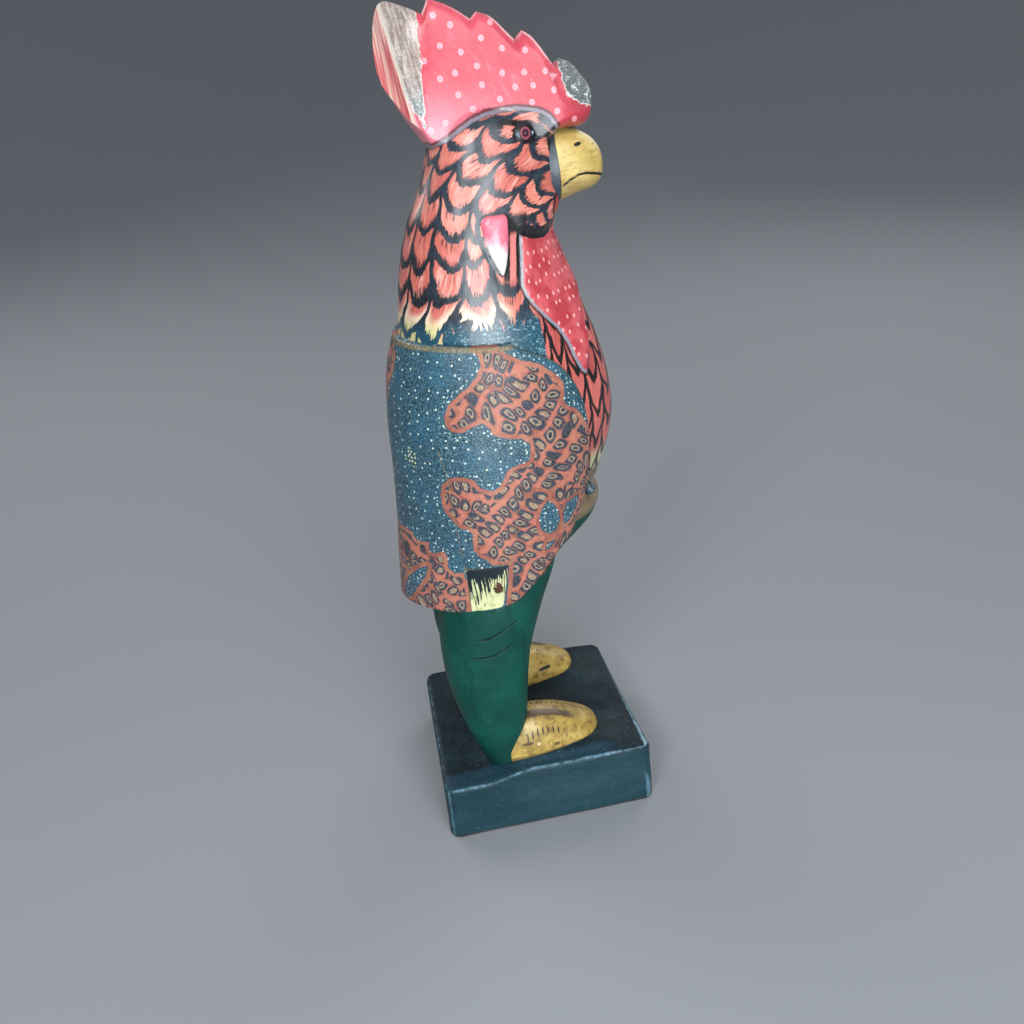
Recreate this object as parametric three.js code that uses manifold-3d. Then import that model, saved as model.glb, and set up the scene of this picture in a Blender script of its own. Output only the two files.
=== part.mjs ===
// A carved and painted wooden rooster that stands upright in a coat, trousers and shoes on a square block.
// Figure, shoes and block are one piece of wood, so the whole is one closed solid in one mesh.
// Millimetres, +Z up. The rooster faces -Y and its left is +X; the origin is the middle of the underside.

import * as THREE from "three";
import { mergeVertices } from "three/addons/utils/BufferGeometryUtils.js";
import Module from "manifold-3d";

const wasm = await Module();
wasm.setup();

// The block.
const BASE_LENGTH = 118; // heels to toes
const BASE_WIDTH = 110;
const BASE_HEIGHT = 36;
const BASE_CORNER = 6; // radius of the upright corners
const BASE_EDGE = 3; // rounding of the upper edges
const BASE_SKEW = 3; // how far the right front corner runs out of square
const FOOT_RISE = 4; // the wood left standing round the shoes

// The figure, from the top of the block to the tip of the comb.
const FIGURE_HEIGHT = 380;

// Feet.
const STANCE = 61; // between the middles of the heels
const SHOE_LENGTH = 56; // from under the trouser hem to the toe
const SHOE_WIDTH = 29;
const SHOE_HEIGHT = 22; // above the wood left standing round it
const TOE_TURN = 9; // how far both toes turn to the left
const ROOT = 1.5; // depth by which the feet run into the block

// Carved details.
const COAT_EDGE = 3.2; // thickness of the coat's edges and hem
const BUTTON_DIAMETER = 7;
const COMB_FOOT = 34; // thickness of the comb where it leaves the head
const COMB_RIM = 9; // thickness of the comb at its serrated edge
const COMB_ROUNDING = 6; // depth over which that edge is rounded
const COMB_LEAN = 6; // how far the comb's rear end leans to the left
const BEAK_WIDTH = 27;
const LOBE_RELIEF = 3; // how far the ear lobes stand out

// How square the rings are: under 1 is squarer than an oval, over 1 is more pointed.
const SQUARE = {
  leg: 0.86, body: 0.95, keel: 1.12, coatBack: 0.9, shoeSole: 0.75, shoeTop: 0.8,
  beak: 0.85, upright: 0.9,
};

// Sides of the rings that the forms are built from.
const RING = { block: 56, torso: 40, leg: 26, coat: 20, shoe: 20, comb: 22, beak: 16, lobe: 12 };

// The figure's outlines are in thousandths of its own height.
const share = (value) => (value * FIGURE_HEIGHT) / 1000;

// A place on the figure: forward of the middle, to its left, and above the top of the block.
const place = (forward, left, up) => new THREE.Vector3(left, -forward, BASE_HEIGHT + up);

// A smooth run through [position, value, value, ...] rows, as a function of the position.
function runThrough(rows) {
  const slope = (i, k) => {
    const a = rows[Math.max(i - 1, 0)];
    const b = rows[Math.min(i + 1, rows.length - 1)];
    return (b[k] - a[k]) / (b[0] - a[0]);
  };
  return (at, k = 1) => {
    const p = THREE.MathUtils.clamp(at, rows[0][0], rows[rows.length - 1][0]);
    let i = 0;
    while (i < rows.length - 2 && p > rows[i + 1][0]) i++;
    const [a, b] = [rows[i], rows[i + 1]];
    const step = b[0] - a[0];
    const t = (p - a[0]) / step;
    const ease = t * t * (3 - 2 * t);
    const start = t * (1 - t) * (1 - t) * step;
    const end = t * t * (t - 1) * step;
    return a[k] + (b[k] - a[k]) * ease + start * slope(i, k) + end * slope(i + 1, k);
  };
}

// A power of a sine or cosine that keeps its sign, for squarer or rounder ovals.
const power = (value, exponent) => Math.sign(value) * Math.abs(value) ** exponent;

// An oval ring with its own reach to the front, the back and the sides; a keel over 1 narrows its front.
function oval(sides, { back, middle, front, half, roundness = 1, keel = roundness, centre = 0 }, up) {
  return Array.from({ length: sides }, (_, i) => {
    const angle = (2 * Math.PI * i) / sides;
    const shape = Math.cos(angle) > 0 ? keel : roundness;
    const c = power(Math.cos(angle), shape);
    const s = power(Math.sin(angle), shape);
    const reach = c > 0 ? front - middle : middle - back;
    return place(middle + c * reach, centre + s * half, up);
  });
}

// A closed solid through a row of rings with the same number of points, each end drawn to its middle.
function skin(rings, startTip, endTip) {
  const sides = rings[0].length;
  const middle = (ring) => ring.reduce((sum, p) => sum.add(p), new THREE.Vector3()).divideScalar(sides);
  const points = [...rings.flat(), startTip ?? middle(rings[0]), endTip ?? middle(rings[rings.length - 1])];
  const [first, last] = [points.length - 2, points.length - 1];
  const faces = [];
  for (let i = 0; i < sides; i++) {
    const j = (i + 1) % sides;
    faces.push(first, j, i);
    for (let r = 0; r < rings.length - 1; r++) {
      const [a, b] = [r * sides, (r + 1) * sides];
      faces.push(a + i, a + j, b + j, a + i, b + j, b + i);
    }
    const top = (rings.length - 1) * sides;
    faces.push(last, top + i, top + j);
  }
  const geometry = new THREE.BufferGeometry().setFromPoints(points);
  geometry.setIndex(faces);
  return solid(geometry);
}

// A geometry as a solid that can be joined and cut; one whose faces point inwards is turned round.
function solid(geometry) {
  const bare = geometry.clone();
  bare.deleteAttribute("normal");
  bare.deleteAttribute("uv");
  const merged = mergeVertices(bare, 1e-4);
  const vertProperties = merged.attributes.position.array;
  const triVerts = new Uint32Array(merged.index.array);
  const made = new wasm.Manifold(new wasm.Mesh({ numProp: 3, vertProperties, triVerts }));
  if (made.volume() > 0) return made;
  for (let i = 0; i < triVerts.length; i += 3)
    [triVerts[i + 1], triVerts[i + 2]] = [triVerts[i + 2], triVerts[i + 1]];
  return new wasm.Manifold(new wasm.Mesh({ numProp: 3, vertProperties, triVerts }));
}

// Where each shoe starts under the trouser hem, and its middle.
const shoeBack = share(-50);
const shoeMiddle = shoeBack + SHOE_LENGTH / 2;

// The block: hand-cut, a little out of square, its top rising to the shoes and rounded over at the edges.
function block() {
  const [halfLength, halfWidth] = [BASE_LENGTH / 2, BASE_WIDTH / 2];
  // One point of the rounded square, shrunk by an inset, with its right front corner run out a little.
  const outline = (i, inset) => {
    const quarter = RING.block / 4;
    const corner = Math.floor(i / quarter);
    const angle = (Math.PI / 2) * (corner + (i % quarter) / (quarter - 1));
    const radius = Math.max(BASE_CORNER - inset, 0.5);
    const signs = [[1, 1], [-1, 1], [-1, -1], [1, -1]][corner];
    const x = signs[0] * (halfWidth - inset - radius) + radius * Math.cos(angle);
    const y = signs[1] * (halfLength - inset - radius) + radius * Math.sin(angle);
    const nearCorner = ((1 - y / halfLength) * (1 - x / halfWidth)) / 4;
    return [x, y - BASE_SKEW * nearCorner ** 2];
  };
  const rise = (x, y) => {
    const across = (Math.abs(x - TOE_TURN / 2) - STANCE / 2) / SHOE_WIDTH;
    const along = (-y - shoeMiddle) / SHOE_LENGTH;
    const [narrow, short] = [1.6, 1.5];
    return FOOT_RISE * Math.exp(-((across * narrow) ** 4) - (along * short) ** 4);
  };
  const ring = (inset, height) =>
    Array.from({ length: RING.block }, (_, i) => {
      const [x, y] = outline(i, inset);
      return new THREE.Vector3(x, y, height === 0 ? 0 : height + rise(x, y));
    });
  const lowerEdge = BASE_EDGE / 3;
  const rings = [ring(lowerEdge, 0), ring(0, lowerEdge)];
  const turns = 3;
  for (let i = 0; i <= turns; i++) {
    const angle = (i / turns) * (Math.PI / 2);
    const [inset, drop] = [BASE_EDGE * (1 - Math.cos(angle)), BASE_EDGE * (1 - Math.sin(angle))];
    rings.push(ring(inset, BASE_HEIGHT - drop));
  }
  const towardsMiddle = [0.12, 0.24, 0.38, 0.55, 0.75];
  for (const part of towardsMiddle) rings.push(ring(part * halfWidth, BASE_HEIGHT));
  return skin(rings);
}

// A shoe: flat under, its upper rising to the trouser hem and rounded down to the toe.
function shoe(side) {
  // share of the length, of the width and of the height
  const stations = [
    [0, 0.84, 1], [0.12, 0.92, 1], [0.3, 1, 0.98], [0.5, 1.02, 0.85], [0.65, 1, 0.68],
    [0.78, 0.96, 0.52], [0.88, 0.84, 0.4], [0.95, 0.6, 0.3], [0.985, 0.38, 0.2], [1, 0.2, 0.1],
  ];
  const soleTuck = 0.96;
  const rings = stations.map(([along, wide, high]) => {
    const forward = shoeBack + along * SHOE_LENGTH;
    const centre = (side * STANCE) / 2 + TOE_TURN * along;
    return Array.from({ length: RING.shoe }, (_, i) => {
      const angle = (2 * Math.PI * i) / RING.shoe;
      const under = Math.sin(angle) < 0;
      const half = (wide * SHOE_WIDTH * (under ? soleTuck : 1)) / 2;
      const across = power(Math.cos(angle), SQUARE.shoeSole) * half;
      const rise = power(Math.sin(angle), SQUARE.shoeTop) * high * (SHOE_HEIGHT + FOOT_RISE);
      const up = under ? -ROOT : rise;
      return place(forward, centre + side * across, up);
    });
  });
  return skin(rings);
}

// A trouser leg, wide at the seat and drawn in to the hem behind the shoe.
function leg(side) {
  // height, back, front, outer face, inner face
  const rows = [
    [0, -84, -35, 101, 37], [24, -95, -29, 102, 32], [67, -109, -19, 105, 23], [110, -120, -10, 108, 15],
    [150, -127, -5, 111, 8], [187, -129, 1, 113, 3], [226, -127, 12, 114, -3], [265, -121, 26, 114, -12],
    [300, -115, 42, 112, -20], [335, -110, 54, 108, -26],
  ];
  const at = runThrough(rows);
  // The hem follows the shoe; the seat stays where the hips are.
  const ankle = STANCE / 2 - share((rows[0][3] + rows[0][4]) / 2);
  const rings = [];
  const steps = 13;
  const top = rows[rows.length - 1][0];
  for (let i = 0; i <= steps; i++) {
    const up = (i / steps) * top;
    const [back, front] = [share(at(up, 1)), share(at(up, 2))];
    const spread = ankle * (1 - up / top);
    const [outer, inner] = [share(at(up, 3)) + spread, share(at(up, 4)) + spread];
    rings.push(
      oval(RING.leg, {
        back, front, middle: (back + front) / 2, half: (outer - inner) / 2,
        roundness: SQUARE.leg, centre: side * ((outer + inner) / 2),
      }, i === 0 ? -ROOT : share(up)),
    );
  }
  return skin(rings);
}

// Height, back, front and half-width of hips, belly, chest, neck and head.
const BODY = [
  [205, -88, -34, 16], [220, -98, -18, 34], [240, -106, 2, 56], [263, -110, 22, 76],
  [290, -114, 46, 94], [311, -118, 66, 102], [326, -120, 82, 99], [337, -122, 99, 94],
  [353, -124, 117, 92], [376, -126, 127, 93], [392, -126, 126, 95], [403, -126, 121, 96],
  [421, -125, 128, 98],
  [445, -124, 137, 99], [474, -122, 145, 100], [503, -120, 150, 101], [526, -120, 150, 101],
  [561, -124, 145, 101], [589, -126, 138, 100], [618, -126, 129, 98], [647, -124, 117, 95],
  [674, -120, 108, 92], [700, -116, 97.5, 88], [732, -109, 87, 83], [745, -105, 82, 80],
  [758, -100, 83, 79], [774, -95, 87, 77], [795, -84, 90, 74], [821, -72, 90, 71],
  [847, -64, 89, 66], [868, -58, 85, 59], [884, -46, 77, 46], [893, -30, 64, 30],
];

// Hips, belly, chest, neck and head as one form, widest a little behind its middle.
function body() {
  const [backShare, frontShare] = [0.45, 0.32];
  const rings = BODY.map(([up, back, front, half]) =>
    oval(RING.torso, {
      back: share(back), front: share(front), middle: share(back * backShare + front * frontShare),
      half: share(half), roundness: SQUARE.body, keel: SQUARE.keel,
    }, share(up)),
  );
  return skin(rings);
}

// The coat's front edge, from the corner of its hem up to the shoulder: row, forward and height.
const COAT_FRONT = runThrough([
  [0, 68, 356], [0.08, 86, 380], [0.16, 94, 400], [0.3, 98.5, 440], [0.45, 100.5, 484], [0.6, 96, 527],
  [0.7, 87, 557], [0.8, 73, 583], [0.9, 50, 609], [1, 2, 634],
]);

// The coat's outer form by height: back, front and half-width.
const COAT_FORM = runThrough([
  [262, -172, 74, 117], [300, -169, 82, 120], [335, -166, 88, 122], [380, -161, 102, 123],
  [408, -159, 112, 123],
  [425, -158, 117, 123], [470, -156, 126, 123], [515, -155, 131, 122], [555, -152, 129, 120],
  [595, -146, 119, 117], [618, -139, 106, 112], [630, -135, 101, 108], [642, -131, 96, 103],
]);

// The arms lie along the sides as a soft swelling that ends at the cuffs.
function armSwell(forward, up) {
  const [cuff, wrist, elbow, shoulder] = [296, 330, 480, 590];
  const [swell, halfWidth, cuffAt, lean] = [5, 42, -45, 0.16];
  const across = (forward - cuffAt + (up - cuff) * lean) / halfWidth;
  const { smoothstep } = THREE.MathUtils;
  const ends = smoothstep(up, cuff, wrist) * (1 - smoothstep(up, elbow, shoulder));
  return swell * Math.exp(-(across ** 4)) * ends;
}

// The coat's hem at the sides, how much lower it hangs at the back, its collar, and its widest place.
const COAT = { hem: 277, drop: 12, collar: 638, widest: -20, level: 0.55 };

// One row of the coat: round the outside from one front edge to the other, then across inside the chest.
function coatRow(row, inset, lift) {
  const { lerp, smoothstep } = THREE.MathUtils;
  const [edgeForward, edgeUp] = [COAT_FRONT(row, 1), COAT_FRONT(row, 2)];
  const half = [];
  for (let i = 0; i <= RING.coat; i++) {
    const t = i / RING.coat;
    const level = lerp(COAT.hem - COAT.drop * t ** 4, COAT.collar, row);
    const up = lerp(edgeUp, level, smoothstep(t, 0, COAT.level));
    const [back, front, wide] = [COAT_FORM(up, 1), COAT_FORM(up, 2), COAT_FORM(up, 3)];
    const edgeAngle = Math.acos(Math.min((edgeForward - COAT.widest) / (front - COAT.widest), 1));
    const angle = edgeAngle + (Math.PI - edgeAngle) * t;
    const c = Math.cos(angle);
    const forward = COAT.widest + c * (c > 0 ? front - COAT.widest : COAT.widest - back);
    const out = power(Math.sin(angle), c > 0 ? 1 : SQUARE.coatBack) * wide + armSwell(forward, up);
    half.push([share(forward), Math.max(share(out) - inset, 0), share(up) + lift]);
  }
  const draw = 1 + inset / share(COAT_FORM(COAT.hem, 1));
  const outer = half.map(([f, s, u]) => place(f * draw, s, u));
  const mirrored = half.slice(0, -1).reverse().map(([f, s, u]) => place(f * draw, -s, u));
  const [f, s, u] = half[0];
  const inside = 2 * COAT_EDGE;
  const across = [-1, 0, 1].map((k) => place(f * draw - inside, k * (s - inside), u));
  return [...outer, ...mirrored, ...across];
}

// The coat: a barrel open down the chest, its edge and hem standing clear of what they cover.
function coat() {
  const rows = [0, 0.04, 0.09, 0.15, 0.22, 0.3, 0.4, 0.5, 0.6, 0.68, 0.75, 0.81, 0.87, 0.92, 0.96, 1];
  const rings = [
    coatRow(0, COAT_EDGE * 1.6, COAT_EDGE * 1.2),
    coatRow(0, COAT_EDGE * 0.5, 0),
    ...rows.map((row) => coatRow(row, 0, row === 0 ? COAT_EDGE * 0.5 : 0)),
    coatRow(1, COAT_EDGE * 0.4, COAT_EDGE * 0.4),
    coatRow(1, COAT_EDGE * 1.6, COAT_EDGE * 0.3),
    coatRow(1, COAT_EDGE * 2.4, -COAT_EDGE * 2),
  ];
  const tip = (up) => place(share(COAT.widest), 0, share(up));
  return skin(rings, tip(COAT.hem + 4 * COAT.drop), tip(COAT.collar - COAT.drop));
}

// A button at each front edge of the coat.
function button(side) {
  const ball = new THREE.SphereGeometry(BUTTON_DIAMETER / 2, 12, 8);
  const at = place(share(102), side * share(50), share(407));
  ball.translate(at.x, at.y, at.z);
  return solid(ball);
}

// Comb stations from the cut rear end to the front lobe: forward, lower edge, upper edge.
const COMB = [
  [-108, 938, 966], [-107, 929, 978], [-104, 919, 988], [-98, 908, 997], [-91, 896, 1000],
  [-82, 880, 998], [-72, 865, 994], [-62, 850, 990], [-52, 845, 985], [-44, 842, 999.5],
  [-28, 840, 994], [-15, 840, 987], [1, 840, 977], [8, 840, 984], [23, 840, 978], [38, 840, 964],
  [49, 840, 954], [58, 840, 962], [68, 840, 955], [82, 850, 938], [90.5, 855, 925], [99, 858, 931], [111, 858, 926], [122, 860, 914],
  [130, 866, 905], [134.5, 880, 896],
];

// The comb: thick on the crown, thin along its teeth, and trimmed at the back by two old cuts.
function comb() {
  const [noseAt, tailAt, taper, leastNose, leastTail] = [88, -72, 48, 0.14, 0.5];
  const [crown, thinned] = [862, 985];
  const { clamp, smoothstep } = THREE.MathUtils;
  const rim = (depth) => Math.sqrt(1 - (1 - clamp(share(depth) / COMB_ROUNDING, 0, 1)) ** 2);
  const round = (past) => Math.sqrt(Math.max(1 - (Math.max(past, 0) / taper) ** 2, 0));
  const [leanFrom, leanTo, leanFoot, leanTop] = [45, 90, 915, 990];
  const rings = COMB.map(([forward, low, high]) => {
    const back = smoothstep(-forward, leanFrom, leanTo) * COMB_LEAN;
    const ends = Math.max(round(forward - noseAt), leastNose) * Math.max(round(tailAt - forward), leastTail);
    return Array.from({ length: RING.comb }, (_, i) => {
      const angle = (2 * Math.PI * i) / RING.comb;
      const up = (low + high) / 2 + (power(Math.sin(angle), SQUARE.upright) * (high - low)) / 2;
      const thin = smoothstep(up, crown, thinned);
      const half = (COMB_FOOT + (COMB_RIM - COMB_FOOT) * thin) / 2;
      const across = Math.sign(Math.cos(angle)) * rim(high - up) * rim(up - low) * half * ends;
      return place(share(forward), across + back * smoothstep(up, leanFoot, leanTop), share(up));
    });
  });
  // The old cuts at the back, and the chip on the front lobe, each by three places on its face.
  const cuts = [
    [[-58, -14, 969], [-82, -17, 921], [-65, -44, 873]],
    [[-80, -25.5, 900], [-86, 0, 971], [-106, 16, 947]],
    [[97, -36, 892], [126, -26, 882], [118, -8, 921]],
  ];
  let whole = skin(rings);
  for (const cut of cuts) whole = whole.subtract(waste(cut.map((at) => place(...at.map(share)))));
  return whole;
}

// A block of waste wood whose face passes through three places.
function waste([a, b, c]) {
  const { normal } = new THREE.Plane().setFromCoplanarPoints(a, b, c);
  const size = share(500);
  const box = new THREE.BoxGeometry(size, size, size).translate(0, 0, size / 2);
  box.applyQuaternion(new THREE.Quaternion().setFromUnitVectors(new THREE.Vector3(0, 0, 1), normal));
  return solid(box.translate(a.x, a.y, a.z));
}

// The beak: short and hooked, let into the front of the head.
function beak() {
  // forward, lower edge, upper edge, width
  const stations = [
    [66, 786, 852, 0.9], [84, 778, 858.5, 1], [96, 779.5, 859.5, 0.97], [110, 784, 858, 0.9],
    [122, 787, 853, 0.78], [133, 790, 846, 0.62], [141, 795, 837, 0.44], [145.5, 801, 828, 0.25],
    [147, 808, 819, 0.1],
  ];
  const rings = stations.map(([forward, low, high, wide]) =>
    Array.from({ length: RING.beak }, (_, i) => {
      const angle = (2 * Math.PI * i) / RING.beak;
      const up = (low + high) / 2 + (power(Math.sin(angle), SQUARE.upright) * (high - low)) / 2;
      return place(share(forward), (power(Math.cos(angle), SQUARE.beak) * wide * BEAK_WIDTH) / 2, share(up));
    }),
  );
  return skin(rings);
}

// An ear lobe: a drop with its point down, lying on the side of the neck.
function lobe(side) {
  // height, back, front, and how far it stands out
  const stations = [
    [714, -1, 1.5, 0.1], [722, -4, 4, 0.55], [734, -9, 6.5, 0.8], [748, -13.5, 9, 1], [760, -17, 11, 1],
    [770, -18.5, 11.5, 0.85], [776, -17, 10, 0.6], [779, -12, 6, 0.15],
  ];
  const neck = runThrough(BODY);
  const sunk = 1;
  const rings = stations.map(([up, back, front, relief]) => {
    const centre = side * (share(neck(up, 3)) - sunk);
    return oval(RING.lobe, {
      back: share(back), front: share(front), middle: share((back + front) / 2),
      half: LOBE_RELIEF * relief + sunk, centre,
    }, share(up));
  });
  return skin(rings);
}

// Every form joined into the one piece of wood.
function rooster() {
  let whole = block();
  const forms = [body(), coat(), comb(), beak()];
  for (const side of [-1, 1]) forms.push(shoe(side), leg(side), lobe(side), button(side));
  for (const form of forms) whole = whole.add(form);
  return whole;
}

// A solid as a shaded mesh with its own name.
function meshOf(name, made, finish) {
  const { vertProperties, triVerts } = made.getMesh();
  const geometry = new THREE.BufferGeometry();
  geometry.setAttribute("position", new THREE.BufferAttribute(vertProperties, 3));
  geometry.setIndex(new THREE.BufferAttribute(triVerts, 1));
  geometry.computeVertexNormals();
  const mesh = new THREE.Mesh(geometry, new THREE.MeshStandardMaterial(finish));
  mesh.name = name;
  return mesh;
}

const painted = { color: 0xb4564f, roughness: 0.5, metalness: 0 };
const figurine = new THREE.Group();
figurine.add(meshOf("rooster_figurine", rooster(), painted));

export default figurine;
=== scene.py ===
import math

import bpy
import numpy as np
from mathutils import Matrix, Vector


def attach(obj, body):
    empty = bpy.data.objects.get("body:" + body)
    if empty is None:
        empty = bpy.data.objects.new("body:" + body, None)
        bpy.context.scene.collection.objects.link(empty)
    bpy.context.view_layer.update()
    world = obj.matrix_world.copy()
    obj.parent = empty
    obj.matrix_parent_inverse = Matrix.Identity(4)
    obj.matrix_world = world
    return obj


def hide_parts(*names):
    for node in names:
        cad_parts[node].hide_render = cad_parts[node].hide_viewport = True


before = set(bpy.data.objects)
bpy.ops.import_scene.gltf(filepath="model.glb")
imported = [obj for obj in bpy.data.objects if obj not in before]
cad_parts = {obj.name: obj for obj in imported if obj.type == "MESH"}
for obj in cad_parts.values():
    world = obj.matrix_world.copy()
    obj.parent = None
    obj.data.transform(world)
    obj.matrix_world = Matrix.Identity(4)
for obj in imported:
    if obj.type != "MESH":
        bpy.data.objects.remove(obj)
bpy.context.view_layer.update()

# A carved and painted wooden rooster on its block. Millimetres until the end; forward is -Y and left is +X.
MM = 0.001
FIGURE_HEIGHT = 380.0
BASE_LENGTH, BASE_WIDTH, BASE_HEIGHT = 118.0, 110.0, 36.0
BASE_CORNER, BASE_EDGE, BASE_SKEW, FOOT_RISE = 6.0, 3.0, 3.0, 4.0
STANCE, SHOE_LENGTH, SHOE_WIDTH, SHOE_HEIGHT, TOE_TURN, ROOT = 61.0, 56.0, 29.0, 22.0, 9.0, 1.5
COAT_EDGE, BUTTON_DIAMETER = 3.2, 7.0
COMB_FOOT, COMB_RIM, COMB_ROUNDING, COMB_LEAN = 34.0, 9.0, 6.0, 6.0
BEAK_WIDTH, LOBE_RELIEF = 27.0, 3.0

SLOTS = ["feathers", "comb", "beak", "lobe", "coat", "knob", "trousers", "shoes", "block", "wood", "graincut"]
SLOT = {name: i for i, name in enumerate(SLOTS)}


# Camera

def set_camera():
    focal, pitch, yaw, roll = 850.0, 0.4753642, 0.1522606, -0.0872665
    eye = (-62.276, -406.639, 385.706)  # forward, left, up
    ahead = Vector((math.sin(yaw) * math.cos(pitch), math.cos(yaw) * math.cos(pitch), -math.sin(pitch)))
    right = Vector((math.cos(yaw), -math.sin(yaw), 0.0))
    up = right.cross(ahead)
    turned_right = math.cos(roll) * right + math.sin(roll) * up
    turned_up = -math.sin(roll) * right + math.cos(roll) * up
    part = lambda v: Vector((v[1], -v[0], v[2]))
    columns = [part(turned_right), part(turned_up), part(-ahead)]
    camera = bpy.data.objects.new("camera", bpy.data.cameras.new("camera"))
    camera.data.sensor_width = 36.0
    camera.data.lens = 36.0 * focal / 1024
    camera.data.clip_start = 0.01
    turn = Matrix([[c[i] for c in columns] for i in range(3)]).to_4x4()
    camera.matrix_world = Matrix.Translation(part(eye) * MM) @ turn
    bpy.context.scene.collection.objects.link(camera)
    bpy.context.scene.camera = camera


set_camera()


# Curves and rings

def share(value):
    """Millimetres from thousandths of the figure's height."""
    return np.asarray(value, float) * FIGURE_HEIGHT / 1000


def place(forward, left, up):
    """Points in the part's frame, from heights above the block."""
    forward, left, up = np.broadcast_arrays(forward, left, up)
    return np.stack([left, -forward, BASE_HEIGHT + up], -1).astype(float)


def power(value, exponent):
    return np.sign(value) * np.abs(value) ** exponent


def smoothstep(value, low, high):
    t = np.clip((value - low) / (high - low), 0, 1)
    return t * t * (3 - 2 * t)


def lerp(a, b, t):
    return a + (b - a) * t


def run_through(rows, corners=()):
    """A smooth run through rows of [position, value, ...]; it turns sharply at the corners."""
    table = np.array(rows, float)
    x = table[:, 0]
    secant = np.diff(table, axis=0) / np.diff(x)[:, None]
    slope = np.vstack([secant[:1], (table[2:] - table[:-2]) / (x[2:] - x[:-2])[:, None], secant[-1:]])
    start, end = slope[:-1].copy(), slope[1:].copy()
    for corner in corners:
        i = int(np.flatnonzero(x == corner)[0])
        start[i], end[i - 1] = secant[i], secant[i - 1]

    def at(position, k=1):
        p = np.clip(position, x[0], x[-1])
        i = np.clip(np.searchsorted(x, p, side="right") - 1, 0, len(x) - 2)
        step = x[i + 1] - x[i]
        t = (p - x[i]) / step
        value = table[i, k] + (table[i + 1, k] - table[i, k]) * t * t * (3 - 2 * t)
        value = value + t * (1 - t) ** 2 * step * start[i, k]
        return value + t * t * (t - 1) * step * end[i, k]

    return at


def fill(marks, step):
    """The marks, with even steps between them."""
    parts = []
    for a, b in zip(marks[:-1], marks[1:]):
        parts.append(np.linspace(a, b, max(math.ceil(abs(b - a) / step), 1), endpoint=False))
    return np.concatenate(parts + [[marks[-1]]])


def oval(sides, back, middle, front, half, up, roundness=1.0, keel=None, centre=0.0):
    """A level ring, widest at the middle; the keel is the roundness of its front half."""
    angle = 2 * np.pi * np.arange(sides) / sides
    keel = roundness if keel is None else keel
    shape = np.where(np.cos(angle) > 0, keel, roundness)
    c, s = power(np.cos(angle), shape), power(np.sin(angle), shape)
    reach = np.where(c > 0, front - middle, middle - back)
    return place(middle + c * reach, centre + s * half, up)


def skin(name, rings, slot, start_tip=None, end_tip=None):
    """A closed object through rings with the same number of points."""
    rings = np.array(rings)
    count, sides = rings.shape[:2]
    tips = [rings[0].mean(0) if start_tip is None else start_tip]
    tips.append(rings[-1].mean(0) if end_tip is None else end_tip)
    points = np.vstack([rings.reshape(-1, 3), tips])
    i = np.arange(sides)
    j = (i + 1) % sides
    faces = [(count * sides, b, a) for a, b in zip(i.tolist(), j.tolist())]
    for r in range(count - 1):
        a, b = r * sides, (r + 1) * sides
        faces += list(zip((a + i).tolist(), (a + j).tolist(), (b + j).tolist(), (b + i).tolist()))
    top = (count - 1) * sides
    faces += [(count * sides + 1, a, b) for a, b in zip((top + i).tolist(), (top + j).tolist())]
    return form(name, points, faces, slot)


def form(name, points, faces, slot):
    """An object of one slot, with its faces turned outwards."""
    fans = np.array([(f[0], f[k], f[k + 1]) for f in faces for k in range(1, len(f) - 1)])
    a, b, c = points[fans].transpose(1, 0, 2)
    if (a * np.cross(b, c)).sum() < 0:
        faces = [f[::-1] for f in faces]
    mesh = bpy.data.meshes.new(name)
    mesh.from_pydata((points * MM).tolist(), [], faces)
    for material in MATERIALS:
        mesh.materials.append(material)
    mesh.polygons.foreach_set("material_index", np.full(len(mesh.polygons), SLOT[slot], np.int32))
    mesh.update()
    obj = bpy.data.objects.new(name, mesh)
    bpy.context.scene.collection.objects.link(obj)
    return obj


def combine(base, other, operation="UNION"):
    """Joins the other form to the base, or takes it away, and removes the other."""
    modifier = base.modifiers.new("join", "BOOLEAN")
    modifier.operation = operation
    modifier.solver = "MANIFOLD"
    modifier.object = other
    graph = bpy.context.evaluated_depsgraph_get()
    made = bpy.data.meshes.new_from_object(base.evaluated_get(graph))
    base.modifiers.clear()
    base.data = made
    bpy.data.objects.remove(other)
    return base


MATERIALS = [bpy.data.materials.new(name) for name in SLOTS]


# The forms

SHOE_BACK = share(-50)
SHOE_MIDDLE = SHOE_BACK + SHOE_LENGTH / 2


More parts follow.
